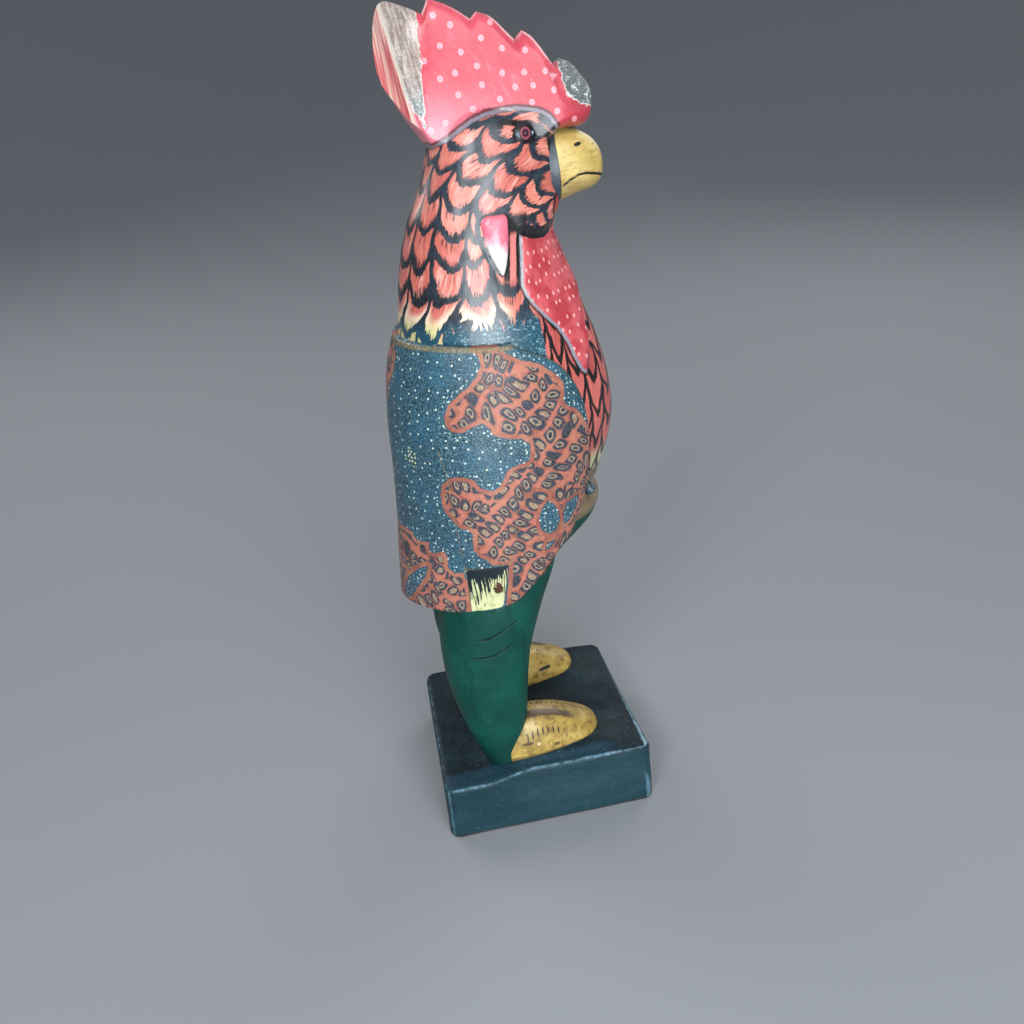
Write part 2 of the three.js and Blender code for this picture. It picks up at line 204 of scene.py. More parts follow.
def block():
    half_length, half_width = BASE_LENGTH / 2, BASE_WIDTH / 2

    def outline(inset):
        radius = max(BASE_CORNER - inset, 0.5)
        points = []
        for corner, (sx, sy) in enumerate([(1, 1), (-1, 1), (-1, -1), (1, -1)]):
            angles = np.pi / 2 * (corner + np.linspace(0, 1, 9))
            x = sx * (half_width - inset - radius) + radius * np.cos(angles)
            y = sy * (half_length - inset - radius) + radius * np.sin(angles)
            points.append(np.stack([x, y], -1))
        ring = []
        for k, arc in enumerate(points):
            ring.append(arc)
            following = points[(k + 1) % 4][0]
            between = np.linspace(0, 1, 50)[1:-1, None]
            ring.append(arc[-1] + (following - arc[-1]) * between)
        ring = np.vstack(ring)
        near = (1 - ring[:, 1] / half_length) * (1 - ring[:, 0] / half_width) / 4
        ring[:, 1] -= BASE_SKEW * near ** 2
        return ring

    def rise(x, y):
        across = (np.abs(x - TOE_TURN / 2) - STANCE / 2) / SHOE_WIDTH
        along = (-y - SHOE_MIDDLE) / SHOE_LENGTH
        return FOOT_RISE * np.exp(-((across * 1.6) ** 4) - (along * 1.5) ** 4)

    def ring(xy, height, lifted=True):
        up = height + (rise(xy[:, 0], xy[:, 1]) if lifted else 0)
        return np.column_stack([xy, np.broadcast_to(up, len(xy))])

    lower = BASE_EDGE / 3
    rings = [ring(outline(lower), 0, False), ring(outline(lower * 0.3), lower * 0.3, False)]
    rings += [ring(outline(0), h, h > 12) for h in np.linspace(lower, BASE_HEIGHT - BASE_EDGE, 12)]
    for angle in np.linspace(0, np.pi / 2, 7)[1:]:
        inset, drop = BASE_EDGE * (1 - math.cos(angle)), BASE_EDGE * (1 - math.sin(angle))
        rings.append(ring(outline(inset), BASE_HEIGHT - drop))
    flat = outline(BASE_EDGE)
    for part in np.linspace(1, 0, 24)[1:-1]:
        rings.append(ring(flat * part, BASE_HEIGHT))
    return skin("block", rings, "block")


def shoe(side):
    stations = run_through([
        [0, .84, 1], [.12, .92, 1], [.3, 1, .98], [.5, 1.02, .85], [.65, 1, .68],
        [.78, .96, .52], [.88, .84, .4], [.95, .6, .3], [.985, .38, .2], [1, .2, .1],
    ])
    rings = []
    for along in np.concatenate([np.linspace(0, .9, 30, endpoint=False), np.linspace(.9, 1, 9)]):
        angle = 2 * np.pi * np.arange(64) / 64
        under = np.sin(angle) < -1e-9
        half = stations(along, 1) * SHOE_WIDTH * np.where(under, .96, 1) / 2
        across = power(np.cos(angle), .75) * half
        up = np.where(under, -ROOT, power(np.sin(angle), .8) * stations(along, 2) * (SHOE_HEIGHT + FOOT_RISE))
        centre = side * STANCE / 2 + TOE_TURN * along
        rings.append(place(SHOE_BACK + along * SHOE_LENGTH, centre + side * across, up))
    return skin("shoe", rings, "shoes")


def leg(side):
    rows = [
        [0, -84, -27, 101, 37], [24, -95, -23, 102, 32], [67, -109, -15, 105, 23], [110, -120, -10, 108, 15],
        [150, -127, -5, 111, 8], [187, -129, 1, 113, 3], [226, -127, 12, 114, -3], [265, -121, 26, 114, -12],
        [300, -115, 42, 112, -20], [335, -110, 54, 108, -26],
    ]
    at = run_through(rows)
    hip = rows[-1][0]
    ankle = STANCE / 2 - share((rows[0][3] + rows[0][4]) / 2)
    rings = []
    for up in fill([0, hip], 5):
        spread = ankle * (1 - up / hip)
        outer, inner = share(at(up, 3)) + spread, share(at(up, 4)) + spread
        back, front = share(at(up, 1)), share(at(up, 2))
        rings.append(oval(84, back, (back + front) / 2, front, (outer - inner) / 2,
                          share(up) if up else -ROOT, .86, centre=side * (outer + inner) / 2))
    return skin("leg", rings, "trousers")


BODY = [
    [205, -88, -34, 16], [220, -98, -18, 34], [240, -106, 2, 56], [263, -110, 22, 76], [290, -114, 46, 94],
    [311, -118, 66, 102], [326, -120, 82, 99], [337, -122, 99, 94], [353, -124, 117, 92],
    [376, -126, 127, 93], [392, -126, 126, 95], [403, -126, 121, 96], [421, -125, 128, 98],
    [445, -124, 137, 99], [474, -122, 145, 100], [503, -120, 150, 101], [526, -120, 150, 101],
    [561, -124, 145, 101], [589, -126, 138, 100], [618, -126, 129, 98], [647, -124, 117, 95],
    [674, -120, 108, 92], [700, -116, 97.5, 88], [732, -109, 87, 83], [745, -105, 82, 80],
    [758, -100, 83, 79], [774, -95, 87, 77], [795, -84, 90, 74], [821, -72, 90, 71], [847, -64, 89, 66],
    [868, -58, 85, 59], [884, -46, 77, 46], [893, -30, 64, 30],
]
neck = run_through(BODY)


def body():
    rings = []
    low, high = BODY[0][0], BODY[-1][0]
    crown, centre = {896.5: .66, 898.5: .3}, 17
    for up in np.concatenate([fill([low, 610], 6), fill([610, high], 2.6)[1:], list(crown)]):
        back, front, half = neck(up, 1), neck(up, 2), neck(up, 3)
        if up > high:
            shrink = crown[float(up)]
            back, front = centre + (back - centre) * shrink, centre + (front - centre) * shrink
            half = half * shrink
        middle = share(back * .45 + front * .32)
        rings.append(oval(216, share(back), middle, share(front), share(half), share(up), .95, 1.12))
    return skin("body", rings, "feathers")


COAT_FRONT = run_through([
    [0, 68, 356], [.08, 86, 380], [.16, 94, 400], [.3, 98.5, 440], [.45, 100.5, 484], [.6, 96, 527],
    [.7, 87, 557], [.8, 73, 583], [.9, 50, 609], [1, 2, 634],
])
COAT_FORM = run_through([
    [262, -172, 74, 117], [300, -169, 82, 120], [335, -166, 88, 122], [380, -161, 102, 123],
    [408, -159, 112, 123], [425, -158, 117, 123], [470, -156, 126, 123], [515, -155, 131, 122],
    [555, -152, 129, 120], [595, -146, 119, 117], [618, -139, 106, 112], [630, -135, 101, 108],
    [642, -131, 96, 103],
])
HEM, DROP, COLLAR, WIDEST, LEVEL = 277, 12, 638, -20, .55
COAT_STEPS = np.concatenate([[0, .004, .009, .016], np.linspace(.024, 1, 96)])


def arm_swell(forward, up):
    across = (forward + 45 + (up - 296) * .16) / 42
    ends = smoothstep(up, 296, 330) * (1 - smoothstep(up, 480, 590))
    return 5 * np.exp(-(across ** 4)) * ends


def coat_row(row, inset, lift):
    """One ring of the coat, from its front edge round the back. Row 0 is the hem and row 1 the collar."""
    edge_forward, edge_up = COAT_FRONT(row, 1), COAT_FRONT(row, 2)
    t = COAT_STEPS
    level = lerp(HEM - DROP * t ** 4, COLLAR, row)
    up = lerp(edge_up, level, smoothstep(t, 0, LEVEL))
    back, front, wide = COAT_FORM(up, 1), COAT_FORM(up, 2), COAT_FORM(up, 3)
    edge_angle = np.arccos(np.minimum((edge_forward - WIDEST) / (front - WIDEST), 1))
    angle = edge_angle + (np.pi - edge_angle) * t
    c = np.cos(angle)
    forward = WIDEST + c * np.where(c > 0, front - WIDEST, WIDEST - back)
    out = power(np.sin(angle), np.where(c > 0, 1, .9)) * wide + arm_swell(forward, up)
    rounding = 1.5 * (1 - np.sqrt(np.clip(1 - (1 - np.minimum(t / COAT_STEPS[3], 1)) ** 2, 0, 1)))
    f = share(forward)
    s = np.maximum(share(out) - inset - rounding, 0)
    u = share(up) + lift
    draw = 1 + inset / share(COAT_FORM(HEM, 1))
    outer = place(f * draw, s, u)
    mirrored = place(f * draw, -s, u)[-2::-1]
    inside = 2 * COAT_EDGE
    chord = [place(f[0] * draw - inside, k * (s[0] - inside), u[0]) for k in (-1, 0, 1)]
    return np.vstack([outer, mirrored, chord])


def coat():
    hem = [(1.6, 1.2), (1.0, .4), (.5, .02), (.22, .06), (.07, .22)]
    collar = [(.06, .18), (.2, .33), (.4, .4), (.8, .42), (1.2, .38), (1.6, .3), (2.4, -2)]
    rings = [coat_row(0, COAT_EDGE * a, COAT_EDGE * b) for a, b in hem]
    for row in fill([0, .04, .09, 1], .0105):
        rings.append(coat_row(row, 0, COAT_EDGE * .5 if row == 0 else 0))
    rings += [coat_row(1, COAT_EDGE * a, COAT_EDGE * b) for a, b in collar]
    tips = [place(share(WIDEST), 0, share(up)) for up in (HEM + 4 * DROP, COLLAR - DROP)]
    return skin("coat", rings, "coat", *tips)


def knob(side):
    forward, out, height = share((102, 50, 407))
    radius = BUTTON_DIAMETER / 2
    b = 2 * np.pi * np.arange(24) / 24
    rings = []
    for a in np.linspace(0, np.pi, 14)[1:-1]:
        rings.append(place(forward + radius * np.sin(a) * np.cos(b),
                           side * out + radius * np.sin(a) * np.sin(b), height + radius * np.cos(a)))
    return skin("knob", rings, "knob")


COMB = [
    [-108, 938, 966], [-107, 929, 978], [-104, 919, 988], [-98, 908, 997], [-91, 896, 1000],
    [-82, 880, 998], [-72, 865, 994], [-62, 850, 990], [-52, 845, 985], [-44, 842, 999.5],
    [-28, 840, 994], [-15, 840, 987], [1, 840, 977], [8, 840, 984], [23, 840, 978], [38, 840, 964],
    [49, 840, 954], [58, 840, 962], [68, 840, 955], [82, 850, 938], [90.5, 855, 925], [99, 858, 931],
    [111, 858, 926], [122, 860, 914], [130, 866, 905], [134.5, 880, 896],
]
CUTS = [
    ("wood", [[-58, -14, 969], [-82, -17, 921], [-65, -44, 873]]),
    ("graincut", [[-80, -25.5, 900], [-86, 0, 971], [-106, 16, 947]]),
    ("wood", [[97, -36, 892], [126, -26, 882], [118, -8, 921]]),
]


def cut_plane(at):
    """A point on the face of a cut, and the direction of the wood that was taken away."""
    a, b, c = [place(*share(p)) for p in at]
    normal = np.cross(b - a, c - a)
    return a, normal / np.linalg.norm(normal)


def comb():
    notches = (-52, -44, 1, 8, 49, 58, 90.5, 99)
    at = run_through(COMB, notches)
    rings = []
    for forward in fill([row[0] for row in COMB], 2.7):
        low, high = at(forward, 1), at(forward, 2)
        angle = 2 * np.pi * np.arange(132) / 132
        up = (low + high) / 2 + power(np.sin(angle), .9) * (high - low) / 2
        thin = smoothstep(up, 862, 985)
        half = (COMB_FOOT + (COMB_RIM - COMB_FOOT) * thin) / 2
        rim = lambda depth: np.sqrt(1 - (1 - np.clip(share(depth) / COMB_ROUNDING, 0, 1)) ** 2)
        round_end = lambda past: math.sqrt(max(1 - (max(past, 0) / 48) ** 2, 0))
        ends = max(round_end(forward - 88), .14) * max(round_end(-72 - forward), .5)
        across = np.sign(np.cos(angle)) * rim(high - up) * rim(up - low) * half * ends
        across = across + COMB_LEAN * smoothstep(-forward, 45, 90) * smoothstep(up, 915, 990)
        rings.append(place(share(forward), across, share(up)))
    whole = skin("comb", rings, "comb")
    for slot, at_points in CUTS:
        point, normal = cut_plane(at_points)
        turn = Vector((0, 0, 1)).rotation_difference(Vector(normal)).to_matrix()
        corners = np.array([[x, y, z] for z in (0, 190) for y in (-95, 95) for x in (-95, 95)], float)
        corners = corners @ np.array(turn).T + point
        faces = [(0, 1, 3, 2), (4, 6, 7, 5), (0, 4, 5, 1), (2, 3, 7, 6), (0, 2, 6, 4), (1, 5, 7, 3)]
        combine(whole, form("waste", corners, faces, slot), "DIFFERENCE")
    return whole


def beak():
    at = run_through([
        [66, 786, 852, .9], [84, 778, 858.5, 1], [96, 779.5, 859.5, .97], [110, 784, 858, .9],
        [122, 787, 853, .78], [133, 790, 846, .62], [141, 795, 837, .44], [145.5, 801, 828, .25],
        [147, 808, 819, .1],
    ])
    rings = []
    for forward in np.concatenate([fill([66, 133], 2.5)[:-1], fill([133, 141, 145.5, 147], 1.2)]):
        low, high, wide = at(forward, 1), at(forward, 2), at(forward, 3)
        angle = 2 * np.pi * np.arange(80) / 80
        up = (low + high) / 2 + power(np.sin(angle), .9) * (high - low) / 2
        rings.append(place(share(forward), power(np.cos(angle), .85) * wide * BEAK_WIDTH / 2, share(up)))
    return skin("beak", rings, "beak")


def lobe(side):
    at = run_through([
        [714, -1, 2.5, .1], [722, -5.5, 6, .55], [734, -11, 9, .8], [748, -15.5, 11.5, 1],
        [760, -18, 12.5, 1], [770, -19, 13, .85], [776, -18, 12.5, .6], [779, -14, 9, .15],
    ])
    rings = []
    for up in fill([714, 722, 779], 2):
        back, front, relief = share(at(up, 1)), share(at(up, 2)), at(up, 3)
        rings.append(oval(40, back, (back + front) / 2, front, LOBE_RELIEF * relief + 1, share(up),
                          centre=side * (share(neck(up, 3)) - 1)))
    return skin("lobe", rings, "lobe")


figure = block()
for piece in (body, coat, comb, beak):
    combine(figure, piece())
for side in (-1, 1):
    for piece in (shoe, leg, lobe, knob):
        combine(figure, piece(side))
figure.name = "rooster"
figure.data.name = "rooster"


# Fields for the paint, kept on the mesh: outlines as distances in millimetres, negative inside

def read(items, key, kind=np.float32, width=1):
    """One array of a mesh's values."""
    values = np.empty(len(items) * width, kind)
    items.foreach_get(key, values)
    return values.reshape(-1, width) if width > 1 else values


def polyline_distance(points, line, closed=False):
    line = np.array(line, float)
    ends = np.roll(line, -1, 0) if closed else line[1:]
    starts = line if closed else line[:-1]
    best = np.full(len(points), 1e9)
    for a, b in zip(starts, ends):
        along = b - a
        t = np.clip((points - a) @ along / (along @ along), 0, 1)
        best = np.minimum(best, np.linalg.norm(points - a - t[:, None] * along, axis=1))
    return best


def polygon_distance(points, outline):
    outline = np.array(outline, float)
    inside = np.zeros(len(points), bool)
    x, y = points[:, 0], points[:, 1]
    for (ax, ay), (bx, by) in zip(outline, np.roll(outline, -1, 0)):
        if ay == by:
            continue
        crosses = ((ay > y) != (by > y)) & (x < (bx - ax) * (y - ay) / (by - ay) + ax)
        inside ^= crosses
    return np.where(inside, -1, 1) * polyline_distance(points, outline, True)


# Outlines on the unrolled surface: 45 mm times the angle forward of the side, and height above the block.
CHART_RADIUS, CHART_AXIS = 45.0, -8.0
SALMON = [
    (-11.7, 241.2), (-7.8, 239.2), (-7, 235.3), (-9.4, 230.5), (-13.5, 226.3), (-19.2, 222), (-23.3, 218.2),
    (-25.5, 213.5), (-25.4, 208.9), (-22.6, 205.4), (-18.2, 205), (-12.8, 207.8), (-8.3, 208.9),
    (-5.6, 206.2), (-4.4, 202.5), (1.5, 199.9), (8.4, 199), (11.7, 195.8), (12.1, 190.7), (10.6, 186.8),
    (5.8, 186.2),
    (1.8, 185.2), (-.9, 181.5), (-3.6, 176.9), (-7.5, 175.2), (-11.7, 177.4), (-14.9, 182), (-19.8, 183.8),
    (-25.1, 182.8), (-29.5, 178.8), (-30.7, 172.4), (-30.3, 165.3), (-26.8, 160.3), (-23.2, 156.2),
    (-19.5, 155.4), (-17.5, 152.6), (-18.2, 145.2), (-16.4, 140.4), (-12.1, 138.2), (-10.8, 135.2),
    (-2.7, 134.3), (-6, 108), (60, 108), (60, 193), (45.2, 193), (42.2, 197.3), (39.6, 202.2), (36.9, 206.2),
    (32.3, 209.1), (30.4, 212.1), (31.9, 215.7), (31.8, 220.6), (29.3, 224.4), (24.7, 228.7), (21.8, 231.5),
    (12, 235), (6.2, 238.4), (2, 243), (-11.7, 243),
]
SALMON_BACK = [
    (-74, 149), (-66, 145), (-57.7, 147.5), (-50.9, 147.4), (-47.8, 143.9), (-40.6, 145.3), (-40.7, 139.6),
    (-37.6, 139.5), (-33.1, 141.9), (-31.4, 137.9), (-31.6, 132.1), (-28.6, 129.6), (-24.3, 130.8),
    (-22.6, 124.4), (-23.4, 106), (-30, 94), (-74, 90),
]
SALMON_TOP = [(-74, 244), (-66, 244), (-57, 236), (-57.5, 228), (-63, 221), (-67, 212), (-74, 207)]
LEAVES = [
    [(19.3, 163.9), (23.9, 158.5), (25.9, 151.9), (24.4, 145.7), (19.6, 144.4), (14.9, 148.1), (13.9, 154.6),
     (15.5, 160.6)],
    [(39.9, 158.8), (39.1, 151.4), (33.9, 146.1), (28.5, 146.3), (27.5, 154.1), (30.2, 158.7)],
    [(23.9, 140), (19.5, 136), (16.4, 135.3), (17.5, 140.3)],
    [(-42, 131.6), (-43.5, 125.3), (-49.6, 115.9), (-55.5, 106.8), (-60, 104), (-62.1, 108.8), (-56.7, 118.4),
     (-48.3, 127.4)],
]
SLEEVE_LINES = [
    [(-29, 196), (-27.2, 186.9), (-25.6, 178.4), (-25.4, 165.1), (-24.5, 151.4), (-23.6, 137.3),
     (-22.9, 122.2), (-23.4, 108)],
    [(1.6, 154.3), (1.9, 146.9), (-.1, 138.1), (-2.7, 134.3), (-4.6, 125.4), (-7, 111)],
    [(-22.9, 133), (-2.7, 134.3)],
]
WINDOW = [(-22.5, 133), (-2.7, 134.3), (-4.6, 125.4), (-6.2, 115), (-7.5, 108), (-23.2, 106), (-22.9, 122.2)]
WATTLE = [
    (29, 300), (28.6, 284.1), (25.6, 274.5), (23.4, 265.5), (24.8, 261), (27.9, 256.8), (33.8, 250.5),
    (40.3, 243.7), (43.7, 235.8), (45.4, 228.1), (47.8, 221.6), (49.8, 219.2), (50.8, 221.3), (53.5, 226.9),
    (56.2, 233.4), (58, 240.3), (60.5, 247.1), (64, 254.4), (71, 262), (80, 262), (80, 300),
]
CROWN = [
    (-30, 322), (-24.4, 324.5), (-22.7, 324), (-16.8, 326.6), (-11.3, 330), (-5.3, 333.4), (1.4, 335.5),
    (7.9, 336.1), (14.4, 336.3), (20.9, 335.4), (25.2, 334.3), (28.6, 332.1), (31.9, 327.5),
]
RIDGE_TOP = [(33.5, 326), (60, 330), (60, 420), (-80, 420), (-80, 300), (-36, 316)]
LOBE_RIM = [(-6.4, 296), (-8.6, 293), (-8.6, 288), (-6.4, 281), (-3.6, 275.5), (.2, 271.5)]
MOUTH = [(34.5, 303), (38.6, 305.6), (41.9, 306.9), (45.7, 307.2), (51.8, 306.2), (57, 304.6)]
CHIN = [
    (0, 296), (7.7, 293.8), (10.8, 290.6), (16.3, 288), (23.1, 287.3), (26.9, 289.3), (31.3, 294),
    (33.3, 298),
]
DROP_LEAF = [
    (36.5, 304.5), (34.6, 299), (31.8, 295), (28.9, 291.2), (28.2, 293.5), (29.6, 298.5), (32.4, 303),
]
BROW = [(5.5, 330.6), (7.7, 331.7), (12.9, 331), (19.8, 330), (24.9, 327.6), (28.7, 323.4), (30, 317)]
CREASES = [
    [(-36, 88.3), (-33.3, 88.5), (-23.6, 89.6), (-8.6, 97.2)], [(-36, 78.4), (-24.7, 77.6), (-10.7, 84.3)],
]
COMB_DOTS = [
    (-15.3, 373.2), (-8.7, 369.2), (3.6, 363.6), (-14, 361.9), (-5.6, 359), (-21.4, 356.9), (.3, 353.4),
    (-9.3, 351.5), (10.5, 350), (19.9, 349.6), (29.1, 349.3), (-15.9, 349.7), (1.3, 346.2), (15.2, 344.3),
    (23, 344.4), (31.7, 341.9), (-9.3, 343.2), (8.1, 340.3), (21.7, 338.1), (32.2, 333.7), (-3.8, 337.5),
    (-16.2, 333.2), (-22.5, 330.9), (39.2, 336.2), (40.1, 329.9), (8.3, 369.2), (21.6, 357.8), (11.9, 359.2),
    (-2.5, 375), (-24, 344), (44.5, 343), (-30, 352), (-28, 364),
]
BARE_WOOD = [
    [(-22.2, 390), (-22.2, 368.3), (-22.6, 357.3), (-24.6, 346.3), (-24, 336), (-24.7, 331.8), (-27.4, 336),
     (-31, 342), (-60, 342), (-60, 390)],
    [(36.2, 356), (36.2, 347.3), (34.6, 341), (38.1, 338.6), (42.2, 339.1), (45, 334.5), (49, 334.6),
     (60, 334), (60, 380), (36, 380)],
]
THROAT_FORWARD, THROAT_UP = 32.0, 277.0
COLUMN_START, COLUMN_WIDTH, FEATHER_LENGTH = 8.7, 13.2, 14.9
EYE_FORWARD, EYE_UP = 17.3, 326.6
WAIST = 139.0
LEAN, LEAN_FROM, LEAN_TO = 5.2, -36, -8


def fields(mesh):
    """Every vertex in millimetres, and the values that the paint and the relief go by."""
    co = read(mesh.vertices, "co", width=3).astype(float) / MM
    left, forward, up = co[:, 0], -co[:, 1], co[:, 2] - BASE_HEIGHT
    side = np.abs(left)
    angle = np.arctan2(forward - CHART_AXIS, side)
    chart = np.stack([CHART_RADIUS * angle, up], -1)
    profile = np.stack([forward, up], -1)
    half = share(neck(up / share(1), 3))

    # Columns and rows of feathers: round the cheek above the throat, then straight down the neck.
    unrolled = CHART_AXIS + half * angle
    away, above = THROAT_FORWARD - unrolled, up - THROAT_UP
    bent = above > 0
    across = np.where(bent, np.hypot(away, above), away)
    down = np.where(bent, -np.arctan2(above, away) * (34 + .62 * across), -above)
    lean = .0055 * np.maximum(down, 0) * smoothstep(across, 30, 62)
    across = across * (1 - np.minimum(lean, .3))
    made = {
        "column": (across - COLUMN_START) / COLUMN_WIDTH,
        "row": down / FEATHER_LENGTH,
        "chart": chart[:, 0],
        "wattle": polygon_distance(chart, WATTLE),
        "crown": polyline_distance(profile, CROWN),
        "mouth": polyline_distance(profile, MOUTH),
        "jaw": up - np.interp(forward, *np.array(CHIN).T),
        "ridge": polygon_distance(profile, CROWN + RIDGE_TOP),
        "lobe_rim": polyline_distance(profile, LOBE_RIM),
        "drop": polygon_distance(profile, DROP_LEAF),
        "brow": polyline_distance(profile, BROW),
        "bare": np.minimum(*[polygon_distance(profile, outline) for outline in BARE_WOOD]),
        "crease": np.minimum(*[polyline_distance(profile, line) for line in CREASES]),
    }
    islands = (SALMON, SALMON_BACK, SALMON_TOP)
    batik = np.minimum.reduce([polygon_distance(chart, island) for island in islands])
    for leaf in LEAVES:
        batik = np.maximum(batik, -polygon_distance(chart, leaf))
    made["batik"] = batik
    made["window"] = polygon_distance(chart, WINDOW)
    made["sleeve"] = np.minimum.reduce([polyline_distance(chart, line) for line in SLEEVE_LINES])
    front = np.array([coat_row(row, 0, 0)[0] for row in np.linspace(0, 1, 60)])
    mirrored = np.column_stack([side, co[:, 1], co[:, 2]])
    made["border"] = polyline_distance(mirrored, np.vstack([front[::3], front[-1:]]))
    for name, row in (("collar", 1), ("hem", 0)):
        made[name] = polyline_distance(mirrored, coat_row(row, 0, 0)[:len(COAT_STEPS):3])
    for index, (_, at_points) in enumerate(CUTS[:2]):
        point, normal = cut_plane(at_points)
        made["cut%d" % index] = -(co - point) @ normal
    offset = profile[:, None, :] - np.array(COMB_DOTS)[None]
    offset = offset[np.arange(len(co)), np.argmin((offset ** 2).sum(-1), 1)]
    made["dot_x"], made["dot_y"] = offset[:, 0], offset[:, 1]
    made["dot_near"] = np.hypot(*offset.T)
    for name, values in made.items():
        attribute = mesh.attributes.new(name, "FLOAT", "POINT")
        attribute.data.foreach_set("value", values.astype(np.float32))
    return co, made


def unevenness(co, size, seed):
    """A slow hand-carved waviness between -1 and 1."""
    rng = np.random.default_rng(seed)
    total = np.zeros(len(co))
    for _ in range(6):
        direction = rng.normal(size=3)
        direction /= np.linalg.norm(direction)
        total += np.sin(co @ direction * (2 * np.pi / size) * rng.uniform(.7, 1.4) + rng.uniform(0, 7))
    return total / 4


def relief(mesh, co, made):
    """What the knife did on the forms: grooves, raised edges and worn edges."""
    sides = read(mesh.polygons, "loop_total", np.int32)
    slots = np.repeat(read(mesh.polygons, "material_index", np.int32), sides)
    corners = read(mesh.loops, "vertex_index", np.int32)

    def inside(name):
        """Which vertices have faces of this slot alone."""
        found = np.zeros(len(co), bool)
        found[corners[slots == SLOT[name]]] = True
        found[corners[slots != SLOT[name]]] = False
        return found

    forward, side, up = -co[:, 1], np.abs(co[:, 0]), co[:, 2] - BASE_HEIGHT
    crown, jaw, wattle = made["crown"], made["jaw"], made["wattle"]
    carve = -.55 * np.exp(-(crown / .9) ** 2)
    swell = smoothstep(-wattle, -.9, .7) * smoothstep(-wattle, 14, 4)
    carve += smoothstep(-jaw, 3, 6) * (.9 * swell - .35 * np.exp(-((wattle - 1.4) / .9) ** 2))
    carve += 1.3 * (smoothstep(jaw, -3.4, 1.2) * smoothstep(-jaw, -16, -5) * smoothstep(forward, 6, 14))
    eye = np.hypot(forward - EYE_FORWARD, up - EYE_UP)
    ball = .55 * np.sqrt(np.clip(1 - (eye / 4.2) ** 2, 0, 1))
    carve += np.where(side > 5, ball - .5 * np.exp(-((eye - 5.2) / 1.2) ** 2), 0)
    depth = np.where(inside("feathers"), carve, 0)
    waves = [
        (.28, 34, 3, "feathers", "coat", "trousers"), (.3, 22, 5, "comb"), (.3, 46, 7, "block"),
        (.25, 18, 9, "shoes"), (.3, 7, 11, "wood", "graincut"),
    ]
    for amount, size, seed, *names in waves:
        where = np.logical_or.reduce([inside(name) for name in names])
        depth += np.where(where, amount * unevenness(co, size, seed), 0)
    move = read(mesh.vertex_normals, "vector", width=3) * depth[:, None]
    # The wall on the right side leans in from its foot to a worn upper edge.
    lean = LEAN * smoothstep(-co[:, 0], 42, 54) * smoothstep(forward, LEAN_FROM, LEAN_TO)
    lean = lean * smoothstep(up, -30, 0)
    move[:, 0] += np.where(inside("block"), lean, 0)
    move[:, 2] *= 1 - smoothstep(-co[:, 2], -1.5, 0)
    return move


def dress(mesh):
    co, made = fields(mesh)
    slots = read(mesh.polygons, "material_index", np.int32)
    up = read(mesh.polygons, "center", width=3)[:, 2] / MM - BASE_HEIGHT
    slots[(slots == SLOT["feathers"]) & (up < WAIST)] = SLOT["trousers"]
    mesh.polygons.foreach_set("material_index", slots)
    mesh.vertices.foreach_set("co", ((co + relief(mesh, co, made)) * MM).astype(np.float32).ravel())
    mesh.update()
    mesh.shade_smooth()
    mesh.set_sharp_from_angle(angle=math.radians(50))


dress(figure.data)


# Paint: formulas on the surface become the nodes of each material

def rgb(red, green, blue):
    linear = [c / 255 / 12.92 if c <= 10 else ((c / 255 + .055) / 1.055) ** 2.4 for c in (red, green, blue)]
    return (*linear, 1.0)


def feed(tree, socket, value):
    """A number or a colour goes on the socket itself; what a node works out is linked to it."""
    if isinstance(value, Value):
        tree.links.new(value.socket, socket)
    else:
        socket.default_value = rgb(*value) if isinstance(value, tuple) else float(value)


class Value:
    """A number on the surface. Arithmetic on it adds Math nodes."""

    def __init__(self, tree, socket):
        self.tree, self.socket = tree, socket

    def math(self, kind, *others, first=None):
        node = self.tree.nodes.new("ShaderNodeMath")
        node.operation = kind
        values = (self, *others) if first is None else (first, self)
        for slot, value in zip(node.inputs, values):
            feed(self.tree, slot, value)
        return Value(self.tree, node.outputs[0])

    def __add__(self, other): return self.math("ADD", other)
    def __radd__(self, other): return self.math("ADD", other)
    def __sub__(self, other): return self.math("SUBTRACT", other)
    def __rsub__(self, other): return self.math("SUBTRACT", first=other)
    def __mul__(self, other): return self.math("MULTIPLY", other)
    def __rmul__(self, other): return self.math("MULTIPLY", other)
    def __truediv__(self, other): return self.math("DIVIDE", other)
    def __pow__(self, other): return self.math("POWER", other)
    def __abs__(self): return self.math("ABSOLUTE")
    def floor(self): return self.math("FLOOR")
    def fract(self): return self.math("FRACT")
    def sqrt(self): return self.math("SQRT")
    def least(self, other): return self.math("MINIMUM", other)
    def most(self, other): return self.math("MAXIMUM", other)

    def rise(self, low, high):
        """0 below low, 1 above high; the other way round where low is over high."""
        node = self.tree.nodes.new("ShaderNodeMapRange")
        node.interpolation_type = "SMOOTHSTEP"
        self.tree.links.new(self.socket, node.inputs["Value"])
        ends = (min(low, high), max(low, high), low > high, low <= high)
        for name, value in zip(("From Min", "From Max", "To Min", "To Max"), ends):
            feed(self.tree, node.inputs[name], value)
        return Value(self.tree, node.outputs["Result"])


